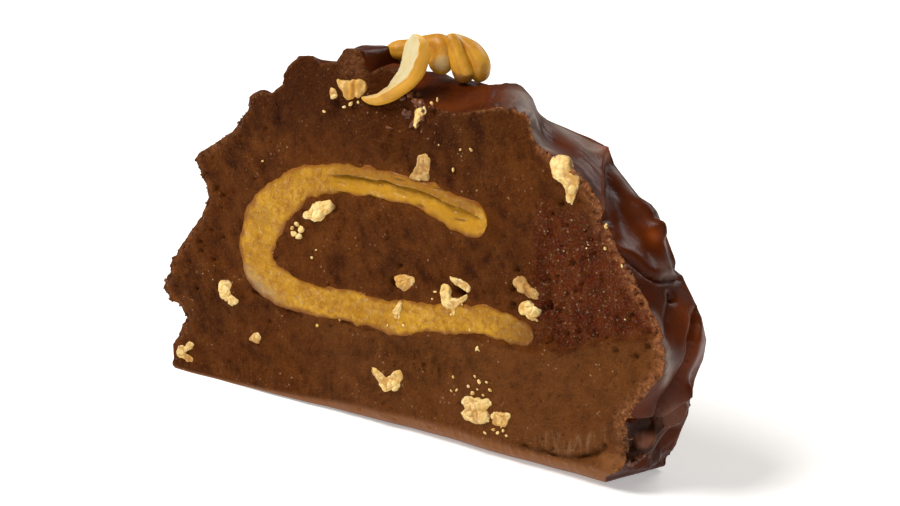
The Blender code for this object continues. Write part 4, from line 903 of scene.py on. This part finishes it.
# painted shade: deep in the hollow away from its lump, and along the curved score
fromLump = np.linalg.norm((fudgePoints - (56.0, -3.0, 10.2)) / (1.0, 1.0, 0.8), axis=1)
scoreShade = 0.4 * onFront * np.exp(-(lineDistance(fudgePoints[:, [0, 2]], face["curve"]) / 0.6) ** 2)
holeShade = inHole * rise(fz, 5.0, 3.0) * smoothStep((fromLump - 2.2) / 1.6)
setMask(fudge, "paintedShade", np.clip(np.maximum(holeShade, scoreShade), 0.0, 1.0))
setMask(fudge, "upper", onFront * 0.55 * rise(fz, 52.0, 16.0) * rise(fx, 28.0, -20.0))
below = smoothStep(-above(fx, fz, face["ledge"]))
setMask(fudge, "block", onFront * below * (0.6 * rise(fx, -32.0, 16.0) + 0.4 * rise(fx, 2.0, 24.0)))
# painted highlights on the knife wrinkles over the curved score
setMask(fudge, "drawn", onFront * wrinkleShare(fx, fz))
fudge.data.materials.clear()
fudge.data.materials.append(cutFudgeMaterial())
fudge.data.materials.append(fudgeSkinMaterial())
corners = np.empty(len(fudge.data.loops), dtype=np.int32)
fudge.data.loops.foreach_get("vertex_index", corners)
starts = np.empty(len(fudge.data.polygons), dtype=np.int32)
fudge.data.polygons.foreach_get("loop_start", starts)
onSkin = np.minimum.reduceat(cutShare[corners], starts) < 0.5
fudge.data.polygons.foreach_set("material_index", onSkin.astype(np.int32))
fudge.data.shade_smooth()
fudge.data.set_sharp_from_angle(angle=math.radians(50.0))
keep(fudge, "fudge", "fudge")
print("fudge finished")

caramelPiece, acrossShare, fromLower = caramelBand("caramelSwirl", 0.0, caramelFront,
                                                   lambda x, z: backFace(x, z) + 0.05)
cx, cz = pointsOf(caramelPiece)[:, [0, 2]].T
ragged = 0.12 * grain(np.stack([cx, cz], axis=1), 1.8, 77)
setMask(caramelPiece, "soak", smoothStep((np.abs(acrossShare) + ragged - 0.62) / 0.38))
arm = upperArm(cx, cz)
pastLip = acrossShare - caramel["lipShare"]
setMask(caramelPiece, "yellow", arm * smoothStep(-pastLip / 0.1))
setMask(caramelPiece, "lip", arm * smoothStep(pastLip / 0.1))
# painted shadow: a dark line just under the torn lip of the upper arm
setMask(caramelPiece, "groove", arm * rise(cx, 19.0, -6.0) * np.exp(-((pastLip + 0.07) / 0.07) ** 2))
setMask(caramelPiece, "tail", 1.0 - smoothStep(fromLower / 14.0))
setMask(caramelPiece, "grey", rise(cx, -28.0, -8.0) * rise(cz, 30.0, -6.0)
        * smoothStep((acrossShare + 0.1) / 0.8))
caramelPiece.data.materials.append(caramelMaterial())
keep(caramelPiece, "caramel", "caramel")
print("caramel finished")


nuts = {
    "columns": 84, "proud": 0.45, "lumpSize": 1.7, "lumpHeight": 0.55,
    # outline on the front face (X, Z), its middle, the depth behind it, how far the fudge has soaked in
    # and how golden it is
    "front": {
        "nut_01": (((2.6, 67.3), (3.8, 68.5), (5.3, 69.2), (6.0, 68.5), (6.3, 67.7), (5.3, 66.6),
            (4.5, 65.6), (3.5, 64.0), (2.8, 64.3), (2.8, 65.9)), (4.3, 67.2), 2.4, 0.0, 0.2),
        "nut_02": (((4.3, 58.9), (5.5, 59.7), (7.2, 59.4), (8.0, 58.2), (7.5, 56.3), (7.2, 54.6),
            (5.3, 54.0), (2.5, 53.9), (3.3, 55.5), (4.0, 57.2)), (5.5, 56.7), 3.0, 0.45, 0.5),
        "nut_03": (((36.1, 63.8), (37.0, 64.6), (38.6, 65.3), (40.0, 65.3), (40.9, 64.3), (41.4, 62.9),
            (42.8, 61.9), (43.3, 60.5), (42.7, 58.4), (42.0, 56.5), (41.3, 55.8), (40.4, 56.0),
            (40.1, 57.5), (39.7, 59.4), (38.3, 60.3), (37.1, 60.9), (36.4, 62.3)), (40.6, 60.3), 1.6, 0.0,
            0.25),
        "nut_04": (((-17.4, 45.2), (-16.9, 44.3), (-17.4, 43.1), (-19.0, 42.0), (-20.1, 40.7),
            (-21.9, 40.3), (-23.5, 40.5), (-25.1, 40.6), (-24.8, 41.7), (-23.2, 42.8), (-22.1, 44.3),
            (-20.3, 45.1), (-18.7, 45.6)), (-21.1, 42.8), 3.6, 0.0, 0.15),
        "nut_05": (((-1.3, 32.9), (0.2, 33.6), (2.2, 33.8), (3.5, 33.7), (3.7, 32.5), (2.5, 31.2),
            (1.2, 30.1), (-0.0, 30.6), (-1.1, 31.7)), (1.2, 32.2), 3.0, 0.1, 0.55),
        "nut_06": (((0.2, 28.4), (0.7, 27.8), (0.4, 25.9), (0.2, 24.6), (-0.6, 23.6), (-1.3, 24.2),
            (-1.8, 25.6), (-0.8, 27.1)), (-0.6, 25.9), 2.4, 0.1, 0.2),
        "nut_07": (((10.0, 33.1), (11.0, 34.0), (12.2, 34.0), (12.7, 32.7), (13.0, 31.5), (14.5, 31.6),
            (15.4, 32.0), (16.4, 32.8), (16.4, 31.8), (15.4, 30.8), (14.5, 29.9), (14.2, 28.6),
            (14.0, 27.8), (12.7, 27.7), (12.2, 28.8), (11.0, 29.4), (10.3, 30.5), (9.8, 31.8)),
            (12.7, 30.4), 3.0, 0.0, 0.15),
        "nut_08": (((12.2, 35.9), (13.9, 35.8), (15.9, 35.4), (17.6, 34.5), (17.1, 33.4), (15.9, 33.6),
            (14.2, 34.2), (12.7, 35.0)), (14.9, 34.6), 2.4, 0.1, 0.1),
        "nut_09": (((28.0, 38.7), (29.4, 39.6), (30.8, 39.3), (32.0, 38.4), (33.7, 37.5), (34.7, 36.5),
            (34.0, 35.3), (32.1, 35.5), (30.2, 36.1), (28.7, 36.5), (27.8, 37.5)), (31.1, 37.4), 3.0, 0.5,
            0.9),
        "nut_10": (((29.5, 34.0), (30.9, 34.7), (32.8, 34.7), (34.2, 34.0), (34.0, 32.3), (32.8, 31.0),
            (31.2, 31.5), (29.5, 31.9), (29.0, 32.8)), (31.6, 32.8), 3.2, 0.0, 0.3),
        "nut_11": (((-48.1, 21.7), (-47.5, 22.7), (-45.6, 23.1), (-44.5, 22.4), (-44.8, 20.8),
            (-43.7, 19.7), (-42.6, 19.3), (-42.9, 18.1), (-44.6, 17.3), (-46.3, 17.9), (-47.6, 18.9),
            (-48.1, 20.3)), (-45.9, 19.9), 3.4, 0.0, 0.0),
        "nut_12": (((-40.0, 11.2), (-38.6, 12.7), (-37.5, 13.1), (-36.7, 12.2), (-37.3, 10.7),
            (-38.7, 10.9)), (-38.1, 11.7), 2.2, 0.15, 0.2),
        "nut_13": (((-7.3, 12.7), (-6.0, 12.8), (-4.7, 12.2), (-2.9, 11.5), (-1.4, 13.0), (0.2, 13.7),
            (0.9, 13.1), (0.9, 11.6), (-0.1, 9.2), (-0.9, 8.6), (-1.9, 9.0), (-3.0, 8.1), (-4.0, 8.1),
            (-4.8, 9.2), (-6.0, 10.2), (-7.1, 11.4)), (-2.4, 10.1), 4.2, 0.0, 0.15),
        "nut_14": (((15.8, 11.4), (17.8, 12.1), (20.2, 12.2), (22.7, 12.8), (23.2, 11.7), (22.2, 10.2),
            (22.7, 8.8), (21.7, 6.9), (19.8, 6.2), (17.8, 6.2), (15.8, 7.0), (15.1, 7.8), (16.0, 9.1),
            (15.3, 10.2)), (19.0, 9.2), 4.0, 0.1, 0.2),
        "nut_15": (((23.0, 9.5), (24.7, 10.6), (27.1, 10.7), (27.6, 9.8), (26.6, 7.9), (24.9, 7.0),
            (23.0, 7.4)), (25.2, 9.0), 2.6, 0.0, 0.5),
        "nut_16": (((-60.9, 3.7), (-60.3, 5.2), (-58.2, 6.1), (-56.7, 7.1), (-55.3, 6.7), (-55.6, 5.8),
            (-57.4, 4.9), (-58.0, 3.9), (-56.9, 3.9), (-55.7, 3.0), (-56.9, 2.1), (-58.6, 2.6),
            (-60.3, 2.9)), (-58.4, 4.2), 3.0, 0.25, 0.4),
        "nut_17": (((-15.8, 71.2), (-14.5, 71.2), (-12.2, 71.4), (-10.6, 71.8), (-9.4, 71.4), (-8.9, 70.6),
            (-9.2, 69.6), (-9.9, 68.4), (-10.6, 67.8), (-11.6, 67.9), (-12.9, 67.2), (-14.1, 67.8),
            (-14.8, 69.1), (-15.6, 70.2)), (-11.5, 69.6), 4.6, 0.0, 1.0),
        "nut_18": (((-17.4, 68.9), (-16.3, 69.2), (-15.6, 68.3), (-15.6, 67.3), (-16.9, 66.7),
            (-17.4, 67.6)), (-16.4, 68.0), 2.0, 0.1, 0.1),
    },
    "fluted": {"nut_17": (-11.6, 1.5)},   # X of the cleft and width of a flute
    # middle X and Z, width, height, tilt and depth of those in the back face
    "back": {
        "nut_19": (-44.0, 34.0, 5.2, 3.8, 30.0, 3.2), "nut_20": (-14.0, 37.0, 4.0, 5.6, -25.0, 3.4),
        "nut_21": (9.0, 61.5, 6.4, 3.6, 15.0, 3.6), "nut_22": (41.0, 44.0, 5.0, 4.2, -20.0, 3.2),
        "nut_23": (29.0, 14.5, 7.4, 4.4, 12.0, 4.0), "nut_24": (-29.0, 11.0, 4.2, 3.2, -10.0, 2.8)},
}


def nutPiece(name, outline, middle, deep, soaked, golden, side, faceAt, seed):
    # Rings drawn in from the outline to a pole on the broken face and to one deep in the fudge.
    # The broken face is domed and chipped; side is -1 for the front face and 1 for the back.
    columns = nuts["columns"]
    centre = np.array(middle)
    loop = spline(outline, columns, closed=True)
    ray = unitRows(loop - centre)
    loop = loop + 0.24 * roughGrain(loop + seed, 1.2, seed)[:, None] * ray
    near = np.linspace(0.05, 1.0, 22) ** 0.85
    turned = np.linspace(0.12, 1.45, 8)
    reach = np.concatenate([near, np.cos(turned)])
    dome = -nuts["proud"] * (1.0 - near ** 6) + 0.25 * near ** 12
    level = np.concatenate([dome, 0.25 + deep * np.sin(turned)])
    flat = centre + (loop - centre)[None] * reach[:, None, None]
    flat = np.vstack([flat.reshape(-1, 2), centre, centre])
    height = np.concatenate([np.repeat(level, columns), [-nuts["proud"], 0.25 + deep]])
    open_ = np.concatenate([np.repeat(1.0 - reach ** 8, columns), [1.0, 0.0]])
    open_[height > 0.24] = 0.0
    warped = flat + np.stack([grain(flat + seed, 1.1, 96), grain(flat + seed, 1.1, 97)], axis=1) * 0.35
    relief = 0.7 * nuts["lumpHeight"] * (lumps(warped + 3.0 * seed, nuts["lumpSize"], 90 + seed) - 0.75)
    relief = relief + 0.4 * grain(flat + seed, 2.0, 92 + seed) + 0.22 * roughGrain(flat, 0.8, 91 + seed)
    if name in nuts["fluted"]:   # two rounded lobes with upright flutes
        split, pitch = nuts["fluted"][name]
        relief = 0.2 * np.cos(2.0 * math.pi * (flat[:, 0] - split) / pitch + 2.2)
        relief = relief + 0.12 * grain(flat, 1.2, 92 + seed)
        relief = relief - 0.35 * np.exp(-((flat[:, 0] - split) / 0.25) ** 2)
    relief = -0.3 * np.tanh(relief / 0.3)   # nothing stands far out, and no cleft sinks below the fudge
    y = faceAt(flat[:, 0], flat[:, 1]) - side * (height + open_ * relief)
    points = np.stack([flat[:, 0], y, flat[:, 1]], axis=1)
    piece = meshObject(name + "_broken", points, ballFaces(len(reach), columns), [nutFlesh])
    share = np.concatenate([np.repeat(reach, columns), [0.0, 0.0]])
    # painted shade: golden brown in the clefts between the lumps
    setMask(piece, "low", smoothStep((relief - 0.1) / 0.2) * open_ * 0.7)
    rim = smoothStep((share - 0.86 + 0.12 * grain(flat, 0.9, 93 + seed)) / 0.2)
    soak = np.maximum(rim * 0.8, soaked * (0.75 + 0.7 * grain(flat, 1.5, 94 + seed)))
    setMask(piece, "soak", np.clip(soak, 0.0, 1.0))
    setMask(piece, "golden", np.clip(golden + 0.35 * grain(flat, 1.6, 95 + seed), 0.0, 1.0))
    return keep(piece, "nut", name)


nutFlesh = nutMaterial()
for number, (name, (outline, middle, deep, soaked, golden)) in enumerate(nuts["front"].items()):
    nutPiece(name, outline, middle, deep, soaked, golden, -1.0, frontDepth, 200 + 7 * number)
for number, (name, (x, z, width, high, tilt, deep)) in enumerate(nuts["back"].items()):
    turn = np.linspace(0.0, 2 * math.pi, 14, endpoint=False)
    tilt = math.radians(tilt)
    bulge = 1.0 + 0.14 * waves(np.stack([np.cos(turn), np.sin(turn)], axis=1), 1.5, 300 + number)
    wide, tall = np.cos(turn) * width / 2 * bulge, np.sin(turn) * high / 2 * bulge
    outline = np.stack([x + wide * math.cos(tilt) - tall * math.sin(tilt),
                        z + wide * math.sin(tilt) + tall * math.cos(tilt)], axis=1)
    nutPiece(name, outline, (x, z), deep, 0.1, 0.2, 1.0, backFace, 400 + 7 * number)
print("nuts finished")

# Cashews: stations of the middle line (X, Y, Z, share of the girth), half width, half thickness, the
# direction of the thickness at both ends, how flat that side is and the furrow along it, then pale
# places (X, Y, Z, reach, strength)
kernels = {
    "rows": 120, "columns": 72, "endLength": 0.16, "furrowWidth": 0.3,
    "cashew_half": (((-10.0, -7.2, 68.1, 0.24), (-9.1, -7.2, 68.3, 0.34), (-7.7, -7.1, 68.7, 0.43),
        (-5.7, -7.0, 69.5, 0.54), (-4.0, -6.9, 70.7, 0.67), (-2.2, -6.8, 72.4, 0.8),
        (-0.5, -6.7, 74.2, 0.92), (0.7, -6.5, 76.0, 1.0), (1.3, -6.2, 78.0, 1.0), (1.8, -5.9, 79.8, 0.95),
        (2.2, -5.7, 81.3, 0.88), (2.5, -5.6, 82.5, 0.8)), 2.9, 4.1, (-0.02, 0.03, 0.99),
        (-0.39, -0.91, 0.15), 0.92, 0.12, ()),
    "cashew_rear": (((4.1, 4.0, 81.0, 0.3), (5.2, 4.2, 80.3, 0.4), (6.7, 4.4, 79.5, 0.6),
        (8.2, 4.7, 78.3, 0.85), (9.6, 4.9, 76.4, 1.0), (10.1, 4.8, 74.7, 1.0), (9.9, 4.8, 72.1, 0.85)), 2.1,
        2.4, (0.3, -0.95, 0.1), (0.3, -0.95, 0.1), 0.0, 0.04, ((5.0, 4.0, 80.6, 2.5, 0.5),)),
    "cashew_finger": (((4.0, 2.4, 81.1, 0.7), (5.0, 2.4, 80.0, 0.66), (6.2, 2.3, 78.2, 0.78),
        (7.1, 2.3, 76.4, 0.9), (8.0, 2.2, 74.6, 0.98), (9.0, 2.2, 72.3, 0.9)), 2.3, 2.0, (0.3, -0.95, 0.1),
        (0.3, -0.95, 0.1), 0.0, 0.04, ()),
    "cashew_back": (((-10.9, 2.0, 76.5, 0.5), (-9.8, 2.1, 76.3, 0.78), (-8.2, 2.2, 76.2, 0.92),
        (-6.4, 2.4, 76.4, 0.96), (-3.9, 2.4, 77.2, 0.94), (-0.8, 2.3, 78.2, 0.98), (2.4, 2.2, 78.7, 1.1),
        (3.0, 2.1, 77.1, 1.18), (2.8, 2.0, 75.1, 1.24), (3.0, 1.9, 73.0, 1.16)), 2.2, 2.2, (0.0, -1.0, 0.1),
        (0.0, -1.0, 0.1), 0.0, 0.1, ((4.4, -0.2, 75.9, 2.6, 0.6),)),
}


def kernelPiece(name, seed):
    # Ball drawn out along the middle line; one side is flattened and furrowed, and the skin is wrinkled
    # lengthwise. The girth is full along the middle and falls off as a quarter circle at each end.
    line, halfWidth, halfThickness, facingFirst, facingLast, flat, furrow, paleSpots = kernels[name]
    unit = roundGrid(kernels["rows"], kernels["columns"])
    middle = spline(line, 160)
    girths = middle[:, 3]
    along = unitRows(np.gradient(middle[:, :3], axis=0))
    way = (unit[:, 2] + 1.0) / 2.0
    steps = np.linspace(0.0, 1.0, len(middle))
    centre = np.stack([np.interp(way, steps, column) for column in middle[:, :3].T], axis=1)
    forward = np.stack([np.interp(way, steps, column) for column in along.T], axis=1)
    facing = np.asarray(facingFirst) * (1.0 - way[:, None]) + np.asarray(facingLast) * way[:, None]
    thick = unitRows(facing - (forward * facing).sum(1, keepdims=True) * forward)
    wide = np.cross(forward, thick)
    ring = np.sqrt(np.clip(1.0 - unit[:, 2] ** 2, 1e-6, 1.0))
    side, edge = unit[:, 0] / ring, unit[:, 1] / ring
    fromEnd = np.clip(np.minimum(way, 1.0 - way) / kernels["endLength"], 0.0, 1.0)
    girth = np.sqrt(1.0 - (1.0 - fromEnd) ** 2) * np.interp(way, steps, girths)
    girth = girth * (1.0 + 0.03 * grain(unit * (1.0, 1.0, 2.0), 0.7, seed))
    wrinkle = np.stack([unit[:, 0], unit[:, 1], unit[:, 2] * 0.35], axis=1)
    girth = girth * (1.0 + 0.02 * roughGrain(wrinkle, 0.22, seed + 1))
    a, b = side * girth, edge * girth
    groove = furrow * np.exp(-(edge / kernels["furrowWidth"]) ** 2) * ring * girth
    open_ = smoothStep(side / 0.12)
    level = 0.05 * roughGrain(np.stack([b * 3.0, unit[:, 2] * 8.0], axis=1), 1.4, seed + 2)
    a = np.where(a > 0.0, a * (1.0 - flat) - groove + (level * open_ if flat else 0.0), a)
    points = centre + thick * (a * halfThickness)[:, None] + wide * (b * halfWidth)[:, None]
    faces = ballFaces(kernels["rows"], kernels["columns"])
    piece = meshObject(name + "_roasted", points, faces, [kernelSkin])
    split = smoothStep((side + 0.1 * grain(points, 1.6, seed + 5)) / 0.3)
    pale = split * (0.55 + 0.45 * rise(points[:, 2], 69.0, 6.0)) if flat else 0.0 * open_
    for x, y, z, reach, strength in paleSpots:
        ragged = 1.0 + 0.35 * grain(points, 1.1, seed + 3)
        spot = np.linalg.norm(points - (x, y, z), axis=1) / reach * ragged
        pale = np.maximum(pale, strength * (1.0 - smoothStep((spot - 0.3) / 0.7)))
    seam = np.exp(-((side - 0.03) / 0.04) ** 2) * 0.25 if flat else np.exp(-(b / 0.12) ** 2) * (a > 0) * 0.2
    if name == "cashew_finger":   # torn brown lower end
        torn = smoothStep((74.8 - points[:, 2] + 0.7 * grain(points, 0.8, seed + 4)) / 0.9)
        seam = np.maximum(seam, torn * 0.8)
    setMask(piece, "pale", pale)
    setMask(piece, "seam", seam)
    # painted light: the round side of the split half brighter gold towards the top
    setMask(piece, "paintedLightGold", (1.0 - split) * rise(points[:, 2], 68.0, 6.0) * (1.0 if flat else 0.0))
    return keep(piece, "cashew", name)


kernelSkin = cashewMaterial()
for number, name in enumerate(("cashew_half", "cashew_rear", "cashew_finger", "cashew_back")):
    kernelPiece(name, 500 + 11 * number)
print("cashews finished")

# how many crumbs in each place, the smallest radius and how much larger they get
crumbs = {"left": 120, "right": 170, "hollow": 60, "top": 60, "clump": 22, "smallest": 0.1, "spread": 0.32}


def crumbPiece(name, places, sizes, slot, material, seed):
    # One ball of eighty faces, knocked out of shape, flattened and turned anew for each place
    ball = bmesh.new()
    bmesh.ops.create_icosphere(ball, subdivisions=2, radius=1.0)
    shape = np.array([vert.co for vert in ball.verts])
    faces = np.array([[vert.index for vert in face.verts] for face in ball.faces])
    ball.free()
    rng = np.random.default_rng(seed)
    count = len(places)
    stretch = rng.uniform(0.45, 1.3, (count, 1, 3))
    corner = unitRows(rng.normal(size=(count, 7, 3)))
    flats = np.clip(np.einsum("vk,cfk->cvf", shape, corner) / 0.72, 1.0, None).max(axis=2)[..., None]
    dents = (1.0 + 0.12 * rng.uniform(-1.0, 1.0, (count, len(shape), 1))) / flats
    turns = np.linalg.qr(rng.normal(size=(count, 3, 3)))[0]
    points = (shape[None] * dents * stretch) @ turns * sizes[:, None, None] + places[:, None]
    allFaces = (faces[None] + (np.arange(count) * len(shape))[:, None, None]).reshape(-1, 3)
    piece = meshObject(name, points, allFaces.tolist(), [material])
    setMask(piece, "golden", np.repeat(rng.uniform(0.0, 0.5, count), len(shape)))
    return keep(piece, slot)


def pick(allowed, count, seed):  # random ones of the fudge's points where allowed is true
    places = fudgePoints[allowed]
    return places[np.random.default_rng(seed).integers(0, len(places), count)]


onRim = (np.abs(frontGap) < 0.7) & (rimAway < 1.4) & (fz > 6.0)
places = np.vstack([pick(allowed, crumbs[name], 601 + number) for number, (name, allowed) in enumerate((
    ("left", onRim & (fx < -35.0)), ("right", onRim & (fx > 30.0) & (fz > 12.0)),
    ("hollow", (inHole > 0.4) & (fz < 7.0) & (fz > 0.8) & (fx > 54.0)),
    ("top", (np.abs(frontGap) < 1.2) & (fz > 62.0) & (fx > -4.0) & (fx < 12.0)),
    ("clump", (fx > -2.0) & (fx < 6.0) & (fz > 65.0) & (fz < 71.5) & (fy < -4.0))))])
sizes = np.random.default_rng(606).uniform(0.0, 1.0, len(places)) ** 2.2
sizes = sizes * crumbs["spread"] + crumbs["smallest"]
sizes = sizes * np.where((places[:, 0] > 48.0) & (places[:, 2] < 13.0), 1.6, 1.0)
sizes[-crumbs["clump"]:] = sizes[-crumbs["clump"]:] * 1.6 + 0.4
crumbPiece("fudgeCrumbs", places, sizes, "fudge", crumbMaterial(), 607)

# bits of nut beside the nuts they broke from: X, Z and size
bits = np.array(((7.7, 70.0, 0.5), (9.4, 71.1, 0.45), (15.1, 62.1, 0.35), (13.4, 57.7, 0.45),
    (17.9, 62.6, 0.5), (9.7, 62.1, 0.25), (-35.3, 50.8, 0.25), (-26.5, 39.0, 0.7), (-25.5, 38.0, 0.8),
    (-27.3, 36.9, 0.7), (-26.0, 36.4, 0.65), (-27.7, 38.0, 0.5), (-22.6, 32.6, 0.4), (-21.5, 34.5, 0.3),
    (-21.2, 18.4, 0.45), (9.0, 31.9, 0.5), (8.3, 30.3, 0.35), (15.7, 30.8, 0.4), (19.7, 22.6, 0.55),
    (20.2, 22.3, 0.4), (19.2, 16.6, 0.4), (20.2, 15.8, 0.55), (21.9, 16.0, 0.5), (22.7, 14.5, 0.45),
    (19.7, 14.0, 0.5), (18.3, 12.8, 0.6), (21.0, 13.0, 0.55), (17.5, 14.1, 0.4), (13.5, 15.1, 0.4),
    (13.0, 12.0, 0.4), (14.3, 12.5, 0.35), (22.2, 7.9, 0.4), (23.5, 6.3, 0.4), (24.5, 5.9, 0.45),
    (25.9, 6.7, 0.5), (21.5, 5.2, 0.4), (26.7, 5.8, 0.35), (25.4, 7.4, 0.4), (39.8, 62.6, 0.35),
    (49.2, 53.2, 0.5), (48.4, 48.5, 0.45), (52.1, 45.7, 0.4), (44.2, 47.7, 0.3), (44.7, 48.5, 0.3),
    (53.0, 35.2, 0.35), (17.7, 25.9, 0.3), (33.6, 31.4, 0.4), (-12.3, 66.6, 0.55), (-13.8, 65.8, 0.45),
    (-10.7, 67.1, 0.4), (-18.7, 64.1, 0.4), (1.2, 23.3, 0.4), (-2.9, 22.4, 0.35), (-15.3, 20.8, 0.3)))
bitY = frontDepth(bits[:, 0], bits[:, 1]) - 0.05
crumbPiece("nutCrumbs", np.stack([bits[:, 0], bitY, bits[:, 1]], axis=1), bits[:, 2], "nut", nutFlesh, 609)
print("crumbs finished")

studio = {
    "azimuth": 38.0, "elevation": 18.0, "distance": 0.6, "lens": 120.0, "target": (0.0, 0.0, 0.0372),
    "shift": (26.03 / 900, -5.22 / 900), "world": 0.2, "floorGlow": 0.35,
    # place (m), aim (m), size (m), power (W)
    "key": ((-0.42, -0.5, 0.95), (0.0, 0.0, 0.03), 0.6, 16.0),
    "fill": ((0.85, -0.65, 0.35), (0.0, 0.0, 0.03), 0.7, 2.0),
    "sheen": ((0.12, 0.72, 0.6), (0.03, 0.0, 0.05), 0.5, 3.4),
}


def paperMaterial():  # matt white paper, which gives a soft even ground
    material, tree, (cloud,) = newMaterial("matWhitePaper", (), ((400.0, 2.0, 0.5),))
    finish(tree, {"Base Color": layers(tree, (cloud, (0.3, 0.7), "#e6e3df", "#eeece9"), ()), "Roughness": 0.6,
                  "Emission Color": (1.0, 1.0, 1.0, 1.0), "Emission Strength": studio["floorGlow"]})
    return material


bpy.ops.mesh.primitive_plane_add(size=6.0)
floor = bpy.context.active_object
floor.name = "paperFloor"
floor.data.materials.append(paperMaterial())

world = bpy.data.worlds.new("studio")
world.use_nodes = True
world.node_tree.nodes["Background"].inputs["Color"].default_value = (1.0, 0.93, 0.84, 1.0)
world.node_tree.nodes["Background"].inputs["Strength"].default_value = studio["world"]
bpy.context.scene.world = world

for name in ("key", "fill", "sheen"):
    place, aim, size, power = studio[name]
    data = bpy.data.lights.new(name, "AREA")
    data.shape, data.size, data.energy = "DISK", size, power
    lamp = bpy.data.objects.new(name, data)
    lamp.location = place
    lamp.rotation_euler = (Vector(place) - Vector(aim)).to_track_quat("Z", "Y").to_euler()
    bpy.context.scene.collection.objects.link(lamp)

turn, lift = math.radians(studio["azimuth"]), math.radians(studio["elevation"])
back = Vector((math.sin(turn) * math.cos(lift), -math.cos(turn) * math.cos(lift), math.sin(lift)))
view = bpy.data.cameras.new("camera")
view.lens, view.sensor_width, view.clip_start = studio["lens"], 36.0, 0.01
view.shift_x, view.shift_y = studio["shift"]
camera = bpy.data.objects.new("camera", view)
camera.location = Vector(studio["target"]) + back * studio["distance"]
camera.rotation_euler = (-back).to_track_quat("-Z", "Y").to_euler()
bpy.context.scene.collection.objects.link(camera)
bpy.context.scene.camera = camera
print("studio set")
